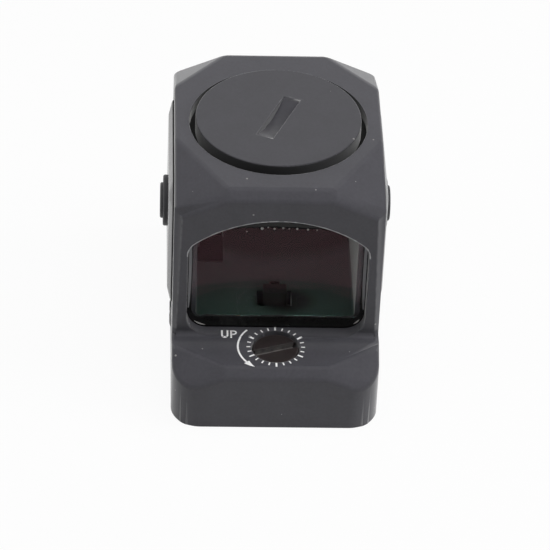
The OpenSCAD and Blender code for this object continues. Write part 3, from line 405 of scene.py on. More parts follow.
def dull(surface, mask):
    """Makes a finish fully rough where a mask is 1, and takes its coat off."""
    rough, coat = (surface.shader.inputs[socket] for socket in ("Roughness", "Coat Weight"))
    surface.put(Roughness=surface.maths("MAXIMUM", Wire(surface, rough.links[0].from_socket), mask))
    before = Wire(surface, coat.links[0].from_socket) if coat.links else coat.default_value
    surface.put(Coat_Weight=(1 - mask) * before)


where = alloy.place()
spot = alloy.node("SeparateXYZ", sockets={0: where})
print("axes of a spot:", [axis.name for axis in spot.socket.node.outputs])

# %% [markdown]
# The inside of the sight tunnel is painted dead black, so that it swallows stray light. A point lies in the
# tunnel when its distance from the tunnel's middle, measured along each axis, is less than half the tunnel,
# and there the paint is laid over the grey. On the floor towards the rear window, up to a bowed line, a
# painted grey glow stands for light that falls in through the window. Nearest to the window, beyond a second
# bowed line, it is a painted greenish light, as if through the front lens, and painted shade blackens it
# round the slot of the light. The groove round the battery cap is painted as dark, as its shade.

# %% Tunnel paint
TUNNEL_MIDDLE = np.array([0, 4.05, 18.475]) * MM
TUNNEL_HALF = np.array([11.6, 14.95, 7.85]) * MM
# Bows, limits and colours of the painted light and shade on the tunnel floor, the black paint, and the
# painted shade of the groove.
LIT_BOW, LIT_END, UNLIT_START, LIT_TOP = 30.0, -0.5 * MM, 4 * MM, 11 * MM
GREEN_LIGHT_BOW, GREEN_LIGHT_FULL, GREEN_LIGHT_END = 13.0, -3.7 * MM, -2.9 * MM
SLOT_SHADE_MIDDLE, SLOT_SHADE_ACROSS = np.array([1.5, -7.8, 0]) * MM, (0.7, 1, 0)
SLOT_SHADE_FULL, SLOT_SHADE_END = 1.2 * MM, 3.6 * MM
PAINTED_GLOW, PAINTED_GREEN_LIGHT, PAINTED_SLOT_SHADE = (0.078, 0.078, 0.082, 1), (0.042, 0.07, 0.062, 1), grey(0.003)
BLACK, GROOVE_SHADE = grey(0.004), grey(0.018)

painted = inside_box(alloy, where, TUNNEL_MIDDLE, TUNNEL_HALF)
# Painted light: a grey glow on the floor towards the rear window, up to a bowed line. The walls stay black.
unlit = ease_between(alloy, spot.also("Y") - spot * spot * LIT_BOW, LIT_END, UNLIT_START)
unlit = alloy.maths("MAXIMUM", unlit, spot.also("Z") > LIT_TOP)
# Painted shade round the slot of the light.
slot_shade = 1 - ease_between(alloy, off_axis(alloy, where, SLOT_SHADE_MIDDLE, SLOT_SHADE_ACROSS), SLOT_SHADE_FULL, SLOT_SHADE_END)
# Painted greenish light nearest to the rear window, as if through the front lens.
green_lit = 1 - ease_between(alloy, spot.also("Y") + spot * spot * GREEN_LIGHT_BOW, GREEN_LIGHT_FULL, GREEN_LIGHT_END)
painted_floor_light = alloy.mix(slot_shade, alloy.mix(green_lit, PAINTED_GLOW, PAINTED_GREEN_LIGHT), PAINTED_SLOT_SHADE)
over_base(alloy, painted, alloy.mix(unlit, painted_floor_light, BLACK))
dull(alloy, painted)

WELL_Y, ACROSS_UPRIGHT = 2.025, (1, 1, 0)
GROOVE_RADIUS, GROOVE_FOOT, GROOVE_HEAD = 12.06, 26.5, 33.46
# Painted shade in the groove round the battery cap, dark and dull.
in_groove = off_axis(alloy, where, (0, WELL_Y * MM, 0), ACROSS_UPRIGHT) < GROOVE_RADIUS * MM
in_groove = in_groove * (spot.also("Z") < GROOVE_HEAD * MM) * (spot.also("Z") > GROOVE_FOOT * MM)
over_base(alloy, in_groove, GROOVE_SHADE)
dull(alloy, in_groove)
print("tunnel paint box, mm:", (2 * TUNNEL_HALF / MM).round(2))

# %% [markdown]
# A painted highlight runs round the recess of the rear window: a thin bright line where its edge catches the
# light. The line is painted by its distance from the recess's outline, because an eased edge under an arch
# faces down and would hardly show. Beside the hollow between the deck and the rear face a band is painted
# lighter, as painted light on a wider round, and it fades out away from the hollow.

# %% Painted highlight at the mouth and painted light by the hollow
WINDOW_HALF, WINDOW_CROWN, ARCH_RADIUS, TOP_ROUND = 12.03, 28.93, 17.98, 2.48
DECK, HOLLOW, HOLLOW_START = 9.7, 0.8, -15.25
REAR_FACE, FACE_SLACK, HIGHLIGHT_FROM = -14.45, 0.1, 23.0
LINE_HALF, LINE_SPREAD, MOUTH_HIGHLIGHT = 0.1, 0.2, (0.62, 0.62, 0.63, 1)
GLOW_MOST, GLOW_END, GLOW_SHARE, HOLLOW_GLOW = 1.2, 3.2, 0.05, grey(0.35)


def beyond_arch(x, z):
    """Distance outside the recess's outline in millimetres, from wires of |x| and z.

    It is the distance from the arch's centre less its radius. Past the joint with an upper corner it is the
    same for the corner's circle, with the height counted only above the corner's middle, so that it follows
    the side too.
    """
    centre, corner_x = WINDOW_CROWN - ARCH_RADIUS, WINDOW_HALF - TOP_ROUND
    corner_up = math.sqrt((ARCH_RADIUS - TOP_ROUND) ** 2 - corner_x ** 2)
    up = z - centre
    over_corner = z.finish.maths("MAXIMUM", up - corner_up, 0.0)
    from_arch = (x * x + up * up) ** 0.5 - ARCH_RADIUS
    from_corner = ((x - corner_x) * (x - corner_x) + over_corner * over_corner) ** 0.5 - TOP_ROUND
    return from_arch + (up < x * (corner_up / corner_x)) * (from_corner - from_arch)


height = spot.also("Z") / MM
beyond = beyond_arch(alloy.maths("ABSOLUTE", spot) / MM, height)
on_rear_face = alloy.maths("ABSOLUTE", spot.also("Y") / MM - REAR_FACE) < FACE_SLACK
# Painted highlight: a thin bright line round the mouth of the recess, broken up by noise.
mouth_noise = alloy.noise(where, 0.7, detail=4.0)
mouth_highlight = (beyond > -LINE_HALF) * (beyond < LINE_HALF + mouth_noise * LINE_SPREAD)
mouth_highlight = mouth_highlight * on_rear_face * (height > HIGHLIGHT_FROM)
over_base(alloy, mouth_highlight * (mouth_noise * 0.9 + 0.1), MOUTH_HIGHLIGHT)

# Painted light: a lighter band beside the hollow, standing in for the light on a wider round.
hollow_axis = np.array([0, HOLLOW_START, DECK + HOLLOW]) * MM
from_hollow = off_axis(alloy, where, hollow_axis, (0, 1, 1)) / MM
hollow_glow = ease_between(alloy, from_hollow, HOLLOW, GLOW_MOST)
hollow_glow = hollow_glow * (1 - ease_between(alloy, from_hollow, GLOW_MOST, GLOW_END))
over_base(alloy, hollow_glow * GLOW_SHARE, HOLLOW_GLOW)
print("worn line starts above, mm:", HIGHLIGHT_FROM)

# %% [markdown]
# ## Easing the edges
#
# A drawing has sharp edges, and a real part never has: a tumbler or a file takes a tenth or two of a
# millimetre off each one, and that narrow strip catches the light. A shader can fake the strip, but it is
# made here in the mesh, so that the shape holds up close. A copy of the solid is merged, its flat triangles
# are dissolved into whole faces, and the outer edges get a small round. The long creases between the facets
# of the housing are softer than the rest, so the rounds go in passes, the wide ones first. The new faces
# carry an attribute, which the finish reads to rub off its dye.

# %% Eased copies
MERGE_GAP, FLAT_TURN, SHARP_TURN = 0.0005, 0.3, 24
WIDE_ROUND, WIDE_STEPS, NARROW_STEPS = 0.2, 4, 2


def eased_copy(name, node, *passes, cut_mm=None):
    """A copy of a solid whose edges, where the surface turns outwards, are rounded pass by pass.

    A pass is a width in millimetres, the least turn of an edge in degrees, the wear of the round from 0 to
    1, and a test of the edge's middle. A cut splits every edge that crosses a height, so that a round can
    end there.
    """
    shape = bmesh.new()
    shape.from_mesh(frame["nodes"][node].data)
    bmesh.ops.remove_doubles(shape, verts=shape.verts, dist=MERGE_GAP * MM)
    flat = math.radians(FLAT_TURN)
    bmesh.ops.dissolve_limit(shape, angle_limit=flat, verts=shape.verts, edges=shape.edges)
    if cut_mm is not None:
        whole = shape.verts[:] + shape.edges[:] + shape.faces[:]
        cut = {"plane_co": (0, 0, cut_mm * MM), "plane_no": (0, 0, 1)}
        bmesh.ops.bisect_plane(shape, geom=whole, dist=1e-7, **cut)
    rounded = shape.faces.layers.float.new("eased")
    strip_mark = shape.faces.layers.int.new("strip")
    count = 0
    for width_mm, least_turn, wear, chosen in passes:
        picked = [
            edge for edge in shape.edges
            if edge.calc_face_angle_signed(0) > math.radians(least_turn)
            and chosen(*((edge.verts[0].co + edge.verts[1].co) / 2 / MM))
        ]
        steps = WIDE_STEPS if width_mm > WIDE_ROUND else NARROW_STEPS
        made_faces = bmesh.ops.bevel(
            shape, geom=picked, offset=width_mm * MM, segments=steps, profile=0.5, affect="EDGES",
            clamp_overlap=False
        )["faces"]
        for face in made_faces:
            face[rounded], face[strip_mark] = wear, 1
        count += len(picked)
    for face in shape.faces:
        face.smooth = True
    for edge in shape.edges:
        soft = any(face[strip_mark] for face in edge.link_faces)
        edge.smooth = soft or edge.calc_face_angle(0) < math.radians(SHARP_TURN)
    mesh = bpy.data.meshes.new(name)
    shape.to_mesh(mesh)
    shape.free()
    made = placed(name, mesh)
    made.modifiers.new("even_normals", "WEIGHTED_NORMAL").keep_sharp = True
    print(name, "edges eased:", count, "faces:", len(mesh.polygons))
    return made


print("an edge shades as sharp from a turn of, degrees:", SHARP_TURN)

# %% [markdown]
# A new piece also needs a finish and a moving part to ride on, and the solids that it stands for are hidden.
# These could be set piece by piece, but one function makes sure that none is left out.

# %% Dressing a piece
def dress(piece, surface, body, slot, *stands_for):
    """Gives a piece its finish, the body that it rides on, and the solids that it stands for."""
    piece.data.materials.clear()
    piece.data.materials.append(surface.owner)
    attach(piece, body)
    if stands_for:
        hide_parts(*stands_for)


# %% [markdown]
# ## Housing
#
# On the housing only the edges that a hand can reach are eased. The bays under the cover, the sight tunnel
# and the pockets behind the side pads stay as they are, and so does the thin lip where the deck runs into
# the window. All limits are in millimetres.

# %% Housing
LIP_TOP, LIP_MIDDLE, LIP_HALF = 10.8, REAR_FACE - 0.4, 0.5
BAY_HALF, BAY_REAR, BAY_FRONT = 13, -22, 21.4
FRONT_FOOT, FRONT_LEAN = (22.3, 7.0), math.atan2(3.3, 25.2)
TUNNEL_SIDE, FACETS_FROM = 12.2, 29.5
WELL_RADIUS, WELL_RIM, FACETS_OUTSIDE = 12.05, 33.4, 12.3
PAD_SEAT, PAD_REAR, PAD_FRONT, PAD_FOOT, PAD_HEAD = 13.95, -10, 13.5, 9.8, 30.2
CORNER_SIDE, CORNER_REAR, CORNER_FRONT = 9, -14.2, -12.5
DIAL_MIDDLE, DIAL_CLEAR = np.array([0, -16.88]), 4
DECK_FACETS_FROM, DECK_FACETS_TO, DECK_FACETS_BEHIND = DECK - 3.3, DECK + 0.3, REAR_FACE - 1.2
CREASE_ROUND, CREASE_TURN, EDGE_ROUND = 0.45, 10, 0.14


def tight_corner(x, y, z):
    """True for the middle of an edge at the rear top corners, where the chamfer runs out to a narrow end."""
    return z > FACETS_FROM and abs(x) > CORNER_SIDE and CORNER_REAR < y < CORNER_FRONT


def facet_crease(x, y, z):
    """True for the middle of an edge between the facets of the top or of the deck."""
    top = z > FACETS_FROM and math.hypot(x, y - WELL_Y) > FACETS_OUTSIDE
    deck = DECK_FACETS_FROM < z < DECK_FACETS_TO and y < DECK_FACETS_BEHIND
    deck = deck and math.hypot(x, y - DIAL_MIDDLE[1]) > DIAL_CLEAR
    return (top or deck) and not tight_corner(x, y, z)


def reachable(x, y, z):
    """True for the middle of an edge on the outer skin of the housing."""
    lip = abs(y - LIP_MIDDLE) < LIP_HALF and DECK - 0.1 < z < LIP_TOP
    under = z < DECK - 0.2 and abs(x) < BAY_HALF and BAY_REAR < y < BAY_FRONT
    past_face = (y - FRONT_FOOT[0]) * math.cos(FRONT_LEAN) + (z - FRONT_FOOT[1]) * math.sin(FRONT_LEAN)
    tunnel = abs(x) < TUNNEL_SIDE and y > REAR_FACE + 0.3 and DECK < z < FACETS_FROM and past_face < -0.02
    well = math.hypot(x, y - WELL_Y) < WELL_RADIUS and z < WELL_RIM
    behind_pad = abs(x) < PAD_SEAT and PAD_REAR < y < PAD_FRONT and PAD_FOOT < z < PAD_HEAD
    return not (lip or under or tunnel or well or behind_pad or tight_corner(x, y, z))


housing = eased_copy(
    "housing_eased", "housing", (CREASE_ROUND, CREASE_TURN, 0.0, facet_crease),
    (EDGE_ROUND, SHARP_TURN, 1.0, reachable), cut_mm=LIP_TOP
)
dress(housing, alloy, "housing_body", "alloy", "housing")

# %% [markdown]
# ## Battery cap
#
# The cap is turned from bar, so its rim is already round in the drawing. The coin slot is milled into it,
# and the corners of such a slot are the first to lose their dye, because coins slip there. They are eased a
# little and rubbed more than the rest.

# %% Cap
CAP_SHADE, CAP_WALL, CAP_WALL_SHADE = 0.78, 11.14, (0.03, 0.03, 0.032, 1)
SLOT_FLOOR, SLOT_END, SLOT_ROUND = 33.85, 9, 0.1
cap_alloy = anodised("cap_alloy", np.array(ALLOY_GREY) * CAP_SHADE, rough=0.46, dust=0.03, rubbed=0.14)
# Painted shade: the cap's wall, down in the groove, is painted darker and dull.
from_cap_axis = off_axis(cap_alloy, cap_alloy.place(), (0, WELL_Y * MM, 0), ACROSS_UPRIGHT)
shaded_cap_wall = from_cap_axis > CAP_WALL * MM
over_base(cap_alloy, shaded_cap_wall, CAP_WALL_SHADE)
dull(cap_alloy, shaded_cap_wall)


def coin_slot(x, y, z):
    """True for the middle of an edge of the coin slot."""
    return z > SLOT_FLOOR and math.hypot(x, y - WELL_Y) < SLOT_END


cap = eased_copy("battery_cap_eased", "battery_cap", (SLOT_ROUND, SHARP_TURN, 1.0, coin_slot))
dress(cap, cap_alloy, "cap", "alloy", "battery_cap")

# %% [markdown]
# The cap screws in by a fine thread, which the drawing leaves plain. A screw modifier could sweep it. Here
# it is a low ridge whose profile is carried along a helix, and it fades out at both ends as a cut thread
# does.

# %% Thread of the cap
def helix_ridge(radius, pitch, start, end, rise, width):
    """A triangle along a helix: r = radius + rise at its crest, z = pitch * a / 2 pi, fading at both ends."""
    turns = (end - start - width) / pitch
    share = np.linspace(0, 1, int(turns * THREAD_STEPS))
    angle = (share * turns * 2 * np.pi)[:, None]
    fade = np.clip(np.minimum(share, 1 - share) * turns * 4, 0, 1)
    out = radius + np.array([-BURIED, 0, -BURIED])[None] + fade[:, None] * np.array([0, rise, 0])[None]
    middle = start + width / 2 + (share * turns * pitch)[:, None]
    up_by = middle + np.array([-width / 2, 0, width / 2])[None]
    points = np.stack([out * np.cos(angle), out * np.sin(angle), up_by], -1).reshape(-1, 3)
    ends = np.array([[0, 1, 2], [2, 1, 0]]) + np.array([[0], [len(points) - 3]])
    return points, grid_faces(len(share), 3, wrap_columns=True)[:, ::-1].tolist() + ends.tolist()


SPIGOT_RADIUS, THREAD_PITCH, THREAD_RISE, THREAD_WIDTH = 10.82, 0.75, 0.05, 0.5
THREAD_STEPS, BURIED, FOOT_GAP, RING_GAP = 180, 0.02, 0.05, 0.1
thread_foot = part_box("battery_cap")[0][2] / MM + FOOT_GAP
thread_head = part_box("battery_cap_o_ring")[0][2] / MM - RING_GAP
ridge, ridge_faces = helix_ridge(
    SPIGOT_RADIUS, THREAD_PITCH, thread_foot, thread_head, THREAD_RISE, THREAD_WIDTH
)
thread = mesh_object("cap_thread", (ridge + [0, WELL_Y, 0]) * MM, ridge_faces)
dress(thread, cap_alloy, "cap", "alloy")
print("thread turns:", round((thread_head - thread_foot - THREAD_WIDTH) / THREAD_PITCH, 2))

# %% [markdown]
# ## Adjusting dials
#
# Both dials are turned from dark alloy and worked with a screwdriver. The lathe leaves fine rings about the
# axis, which make a satin face. The rings are a sine of the distance from the axis, and they only lean the
# normal, because they are far too fine to model. The slot's edges are eased, and a driver has polished
# them.

# %% Dials
def turned(name, colour, rough, axis_point, axis):
    """Turned metal: rings that are a sine of the distance from an axis, with streaks and wear.

    The slot, deeper along the axis than the face, is scraped to a lighter grey.
    """
    skin = finish(name, IOR=1.5)
    place = skin.place()
    radius = off_axis(skin, place, axis_point, 1 - axis)
    rings = skin.maths("SINE", radius * (2 * math.pi / (RING_PITCH * MM)))
    away = skin.node("VectorMath", {"operation": "SUBTRACT"}, {0: place, 1: axis_point})
    rise = skin.node("VectorMath", {"operation": "DOT_PRODUCT"}, {0: away, 1: axis}, out="Value")
    stain = skin.noise(place, 0.8, detail=4.0)
    worn = skin.wear() * stain
    metal = skin.mix(worn * 0.5, skin.mix(stain, *shades(colour, 0.7, 1.3)), POLISHED)
    scraped = (rise < -SCRAPED_FROM * MM) * (rise > -SCRAPED_TO * MM) * (radius < SCRAPED_REACH * MM)
    skin.put(Base_Color=skin.mix(scraped * stain, metal, SCRAPED))
    skin.put(Roughness=rough + (stain - 0.5) * 0.2)
    skin.put(Normal=skin.bump(rings, depth_mm=0.006, strength=0.4))
    return skin


RING_PITCH, SCRAPED_FROM, SCRAPED_TO, SCRAPED_REACH = 0.14, 0.4, 1.2, 2.8
DIAL_BROWN, POLISHED, SCRAPED = (0.023, 0.018, 0.018), (0.16, 0.15, 0.15, 1), (0.2, 0.19, 0.185, 1)
ELEVATION_SEAT = np.array([*DIAL_MIDDLE, DECK]) * MM
WINDAGE_SEAT = np.array([14, -10.45, 5.45]) * MM
DIAL_ROUND, ELEVATION_SLOT, WINDAGE_SLOT = 0.05, 8.7, 12.8
elevation_finish = turned("elevation_brown", DIAL_BROWN, 0.4, ELEVATION_SEAT, np.array([0, 0, 1]))
windage_finish = turned("windage_brown", DIAL_BROWN, 0.4, WINDAGE_SEAT, np.array([1, 0, 0]))
elevation_dial = eased_copy(
    "elevation_dial_eased", "elevation_dial",
    (DIAL_ROUND, SHARP_TURN, 1.0, lambda x, y, z: z > ELEVATION_SLOT)
)
dress(elevation_dial, elevation_finish, "elevation_dial", "dial", "elevation_dial")
windage_dial = eased_copy(
    "windage_dial_eased", "windage_dial", (DIAL_ROUND, SHARP_TURN, 1.0, lambda x, y, z: x > WINDAGE_SLOT)
)
dress(windage_dial, windage_finish, "windage_dial", "dial", "windage_dial")

# %% [markdown]
# ## Sealed windows
#
# The rear window is flat glass with a coating that leaves a weak reddish reflection, so the white tent
# shows in it as dark maroon. The front lens sends the dot back to the eye: its coating mirrors red and lets
# the rest through, so it looks amber from the front and the light behind it turns greenish. A mirror mix
# could paint that. Clear glass with a low index and a tinted reflection gives it from every side.

# %% Glass
def coated_glass(name, through, index, tint):
    """Clear glass with a faint film of smears: tinted reflections, and a colour for what comes through."""
    glass = finish(name, IOR=index, Transmission_Weight=1.0, Specular_Tint=(*tint, 1))
    smear = glass.noise(glass.place(), 2.2, detail=5.0)
    glass.put(Base_Color=glass.mix(smear, *shades(through, 1.0, 0.94)), Roughness=smear * 0.008 + 0.002)
    return glass


window_glass = coated_glass("coated_window", (0.94, 0.97, 0.95), index=1.22, tint=(1.0, 0.42, 0.55))
lens_glass = coated_glass("coated_lens", (0.6, 0.78, 0.72), index=1.6, tint=(1.0, 0.45, 0.22))
print("window index:", window_glass.shader.inputs["IOR"].default_value)

# %% [markdown]
# ## Sealant
#
# The rear window is held by a bead of glossy black sealant, laid by a needle and wiped, so it is never
# quite even. It stands as a wide band along the foot, thin at the sides, and fills the space under the arch
# down to an almost straight line. A bevelled curve could trace it, but its width changes along the way, so
# a section is carried round the window's own outline.

# %% Outline of the rear window
def arched_outline(half, foot, crown, arch, top_round, foot_round, count):
    """The window's outline, evenly spaced, with the direction inwards at each point.

    From the middle of the foot: a straight, the lower corner, the side, the upper corner and the arch,
    which is a circle that touches the corners from outside. The other side is its mirror image.
    """
    centre = crown - arch
    corner_up = np.sqrt((arch - top_round) ** 2 - (half - top_round) ** 2)
    corner = np.array([half - top_round, centre + corner_up])
    touch = np.arctan2(corner[1] - centre, corner[0])

    def arc(middle, radius, start, end):
        angle = np.linspace(start, end, ARC_POINTS)
        return np.column_stack([middle[0] + radius * np.cos(angle), middle[1] + radius * np.sin(angle)])

    right_half = np.vstack([
        [[0, foot]], arc((half - foot_round, foot + foot_round), foot_round, -np.pi / 2, 0),
        arc(corner, top_round, 0, touch), arc((0, centre), arch, touch, np.pi / 2),
    ])
    closed = np.vstack([right_half, right_half[-2::-1] * [-1, 1]])
    along = np.concatenate([[0], np.cumsum(np.linalg.norm(np.diff(closed, axis=0), axis=1))])
    even = np.linspace(0, along[-1], count, endpoint=False)
    points = np.column_stack([np.interp(even, along, closed[:, k]) for k in (0, 1)])
    onwards = np.roll(points, -1, 0) - np.roll(points, 1, 0)
    onwards /= np.linalg.norm(onwards, axis=1, keepdims=True)
    return points, np.column_stack([-onwards[:, 1], onwards[:, 0]])


WINDOW_FOOT, FOOT_ROUND = 9.82, 2.78
ARC_POINTS, OUTLINE_POINTS = 60, 480
rear_outline, rear_inwards = arched_outline(
    WINDOW_HALF, WINDOW_FOOT, WINDOW_CROWN, ARCH_RADIUS, TOP_ROUND, FOOT_ROUND, OUTLINE_POINTS
)
print("window outline, mm:", np.ptp(rear_outline, axis=0).round(2))

# %% [markdown]
# The bead's section is a hollow fillet. Its width follows the outline, and two fine waves make it uneven.

# %% Bead round the rear window
def bead(outline, inwards, back, steps=9):
    """A fillet along an outline: u = w s inwards, v = lip (1 - s)^2 + edge out of the glass, s in 0..1.

    The width w grows towards the foot, where the inward direction points up, and towards the crown, with a
    parabola of x. Sines of whole periods make it uneven.
    """
    turn = np.arange(len(outline)) / len(outline) * 2 * np.pi
    at_foot = np.clip(inwards[:, 1], 0, 1) ** 2
    at_crown = np.where(inwards[:, 1] < 0, np.clip(1 - (outline[:, 0] / CROWN_REACH) ** 2, 0, 1), 0)
    width = BEAD_SIDE + (BEAD_FOOT - BEAD_SIDE) * at_foot + (BEAD_CROWN - BEAD_SIDE) * at_crown
    width = width * (1 + 0.02 * np.sin(7 * turn + 1) + 0.015 * np.sin(23 * turn))
    s = np.linspace(0, 1, steps)
    u = np.append(s, [1, 0])[None] * width[:, None]
    lip = BEAD_LIP + BEAD_FOOT_LIP * at_foot
    v = np.append((1 - s) ** 2, [0, 0])[None] * lip[:, None] + np.append(0 * s + BEAD_EDGE, [0, 0])
    flat = outline[:, None] + inwards[:, None] * u[..., None]
    points = np.stack([flat[..., 0], back - v, flat[..., 1]], -1)
    faces = grid_faces(len(outline), steps + 2, wrap_rows=True, wrap_columns=True)[:, ::-1]
    return points.reshape(-1, 3), faces


GLASS_FACE = -12.55
BEAD_SIDE, BEAD_FOOT, BEAD_CROWN, CROWN_REACH = 0.62, 1.9, 2.3, 8.5
BEAD_EDGE, BEAD_LIP, BEAD_FOOT_LIP = 0.1, 0.12, 0.06
sealant = finish("sealant", IOR=1.5, Specular_IOR_Level=0.2)
skin_waves = sealant.noise(sealant.place(), 0.7, detail=3.0)
sealant.put(Base_Color=sealant.mix(skin_waves, BLACK, grey(0.009)), Roughness=0.16 + skin_waves * 0.14)
sealant.put(Normal=sealant.bump(skin_waves, depth_mm=0.02, strength=0.5))
bead_points, bead_faces = bead(rear_outline, rear_inwards, GLASS_FACE)
rear_bead = mesh_object("rear_sealant", bead_points * MM, bead_faces)
rear_bead.data.shade_smooth()
dress(rear_bead, sealant, "housing_body", "bead", "rear_window_gasket")
print("bead points:", len(bead_points))

# %% [markdown]
# The edge of the glass is ground to a narrow grey bevel, which shows beside the sealant at both sides and
# round the upper corners. It is a thin strip on the same outline, tapering to its ends.

# %% Ground rim
def rim_strip(outline, inwards, keep, back):
    """A thin band between two offsets of an outline, whose width follows sin(pi t)^0.4 from end to end."""
    path, side = outline[keep], inwards[keep]
    t = np.linspace(0.02, 0.98, len(path))
    width = RIM_WIDTH * np.sin(np.pi * t) ** 0.4
    u = RIM_OFFSET + np.stack([0 * width, width, width, 0 * width], 1)
    v = np.array([RIM_PROUD, RIM_PROUD * 0.6, 0, 0])[None] + 0 * u
    flat = path[:, None] + side[:, None] * u[..., None]
    points = np.stack([flat[..., 0], back - v, flat[..., 1]], -1).reshape(-1, 3)
    ends = np.array([[0, 1, 2, 3], [3, 2, 1, 0]]) + np.array([[0], [len(points) - 4]])
    return points, np.vstack([grid_faces(len(path), 4, wrap_columns=True)[:, ::-1], ends])


def joined(pieces):
    """One set of points and faces from several."""
    starts = np.cumsum([0] + [len(points) for points, _ in pieces])
    faces = [[i + start for i in face] for (_, faces), start in zip(pieces, starts) for face in faces]
    return np.vstack([points for points, _ in pieces]), faces


RIM_OFFSET, RIM_WIDTH, RIM_PROUD = 0.12, 0.42, 0.3
RIM_FOOT, RIM_INNER = 13.0, 8.6
high = rear_outline[:, 1] > RIM_FOOT
rim_points, rim_faces = joined([
    rim_strip(rear_outline, rear_inwards, high & (rear_outline[:, 0] * hand > RIM_INNER), GLASS_FACE)
    for hand in (1, -1)
])
ground_rim = mesh_object("ground_rim", rim_points * MM, rim_faces)
frosted = finish("frosted_rim", IOR=1.45, Specular_IOR_Level=0.4)
frost = frosted.noise(frosted.place(), 0.15, detail=3.0)
frosted.put(Base_Color=frosted.mix(frost, (0.16, 0.16, 0.17, 1), (0.3, 0.3, 0.31, 1)))
frosted.put(Roughness=0.45 + frost * 0.2)
dress(ground_rim, frosted, "housing_body", "window_glass")
print("rim points:", len(rim_points))

# %% [markdown]
# Under the arch some clear glue came out in a row of small drops, and at the lower corners it ran along the
# sealant. Their light grey is a painted highlight, which makes them show as bright glints from every side. A
# drop is a flattened ball, and a run is a tube along an arc that tapers to both ends. Particles could scatter
# drops, but each of these has a place of its own.

# %% Drops and runs of glue
def ball(rings, spokes):
    """A unit ball: (sin p cos a, cos p, sin p sin a) for rings of p between two poles and spokes of a."""
    p = np.linspace(0, np.pi, rings + 2)[1:-1]
    p, a = np.meshgrid(p, np.arange(spokes) * 2 * np.pi / spokes, indexing="ij")
    belt = np.stack([np.sin(p) * np.cos(a), np.cos(p), np.sin(p) * np.sin(a)], -1).reshape(-1, 3)
    j = np.arange(spokes)
    last = rings * spokes
    top_faces = np.stack([0 * j + last, (j + 1) % spokes, j], -1)
    foot_faces = np.stack([0 * j + last + 1, last - spokes + j, last - spokes + (j + 1) % spokes], -1)
    poles = np.array([[0, 1, 0], [0, -1, 0]])
    quads = grid_faces(rings, spokes, wrap_columns=True)
    return np.vstack([belt, poles]), quads.tolist() + top_faces.tolist() + foot_faces.tolist()


def glue_run(middle, radius, start, end, thick, steps=24, around=10):
    """A tube along an arc, of half-width h = thick sin(pi t): r = radius + h cos a, and 0.6 h sin a out."""
    t = np.linspace(0.03, 0.97, steps)
    angle = np.radians(start + (end - start) * t)[:, None]
    half, a = thick * np.sin(np.pi * t)[:, None], (np.arange(around) * 2 * np.pi / around)[None]
    r = radius + half * np.cos(a)
    x, z = middle[0] + r * np.cos(angle), middle[1] + r * np.sin(angle)
    points = np.stack([x, 0.6 * half * np.sin(a), z], -1)
    first = np.arange(around)
    ends = [first[::-1].tolist(), (first + (steps - 1) * around).tolist()]
    return points.reshape(-1, 3), grid_faces(steps, around, wrap_columns=True).tolist() + ends


DROPS = np.array([
    [-4.3, 26.0, 0.09], [-2.3, 26.55, 0.22], [-1.5, 26.75, 0.1], [-0.65, 26.5, 0.16], [0.5, 26.65, 0.17],
    [1.3, 26.55, 0.1], [2.35, 26.55, 0.15], [3.8, 26.45, 0.16], [5.0, 26.37, 0.09],
])
RUN_RADIUS, RUN_THICK, RUN_PROUD = 2.5, 0.11, 0.22
LOWER_CORNER = np.array([WINDOW_HALF - FOOT_ROUND, WINDOW_FOOT + FOOT_ROUND])
unit, unit_faces = ball(7, 14)
drop_points = DROPS[:, None, [0, 0, 1]] * [1, 0, 1] + unit[None] * DROPS[:, None, 2:] * [1, 0.7, 1]
glue = [(points + [0, GLASS_FACE - BEAD_EDGE, 0], unit_faces) for points in drop_points]
for hand, first_angle, last_angle in ((-1, -136, -92), (1, -58, -30)):
    points, faces = glue_run(LOWER_CORNER * [hand, 1], RUN_RADIUS, first_angle, last_angle, RUN_THICK)
    glue.append((points + [0, GLASS_FACE - RUN_PROUD, 0], faces))
glue_points, glue_faces = joined(glue)
drops = mesh_object("glint_glue_drops", glue_points * MM, glue_faces)
drops.data.shade_smooth()
# Painted highlight: the glue is light grey, so that drops and runs show as glints.
glint_glue = finish("glint_glue", IOR=1.5)
glint_mottle = glint_glue.noise(glint_glue.place(), 0.2)
glint_glue.put(Base_Color=glint_glue.mix(glint_mottle, (0.3, 0.29, 0.28, 1), (0.7, 0.68, 0.66, 1)))
glint_glue.put(Roughness=0.12 + glint_mottle * 0.1)
dress(drops, glint_glue, "housing_body", "bead")
print("drops:", len(DROPS), "glue points:", len(glue_points))

# %% [markdown]
# ## White marks
#
# The deck carries a ring of ticks round the dial, a curved arrow and the word UP, filled with white paint.
# A text object could make the word, but all the marks are plain strokes, so one function draws them: a
# ribbon of a width along a path, laid on the deck and following it up the hollow in front of the window.
# Each is a closed strip, a hair proud of the metal.

# %% Painted strokes
SILL, PROUD, SUNK = 9.8, 0.012, 0.02


def deck_height(y):
    """Height under a mark: flat, then a hollow quarter round, cut off level by the window's sill."""
    up_hollow = np.clip(y - HOLLOW_START, 0, HOLLOW)
    return np.minimum(DECK + HOLLOW - np.sqrt(np.maximum(HOLLOW ** 2 - up_hollow ** 2, 0)), SILL)


def ribbon(path, width):
    """A stroke: at each point of the path a box section, as wide as the stroke, across its direction."""
    along = np.gradient(path, axis=0)
    along /= np.linalg.norm(along, axis=1, keepdims=True)
    half = np.broadcast_to(width, len(path)) / 2
    side = np.column_stack([-along[:, 1], along[:, 0]]) * half[:, None]
    corners = np.stack([path + side, path - side, path - side, path + side], 1)
    height = deck_height(corners[..., 1]) + np.array([PROUD, PROUD, -SUNK, -SUNK])[None]
    points = np.concatenate([corners, height[..., None]], -1).reshape(-1, 3)
    ends = np.array([[3, 2, 1, 0], [0, 1, 2, 3]]) + np.array([[0], [len(points) - 4]])
    return points, np.vstack([grid_faces(len(path), 4, wrap_columns=True), ends])


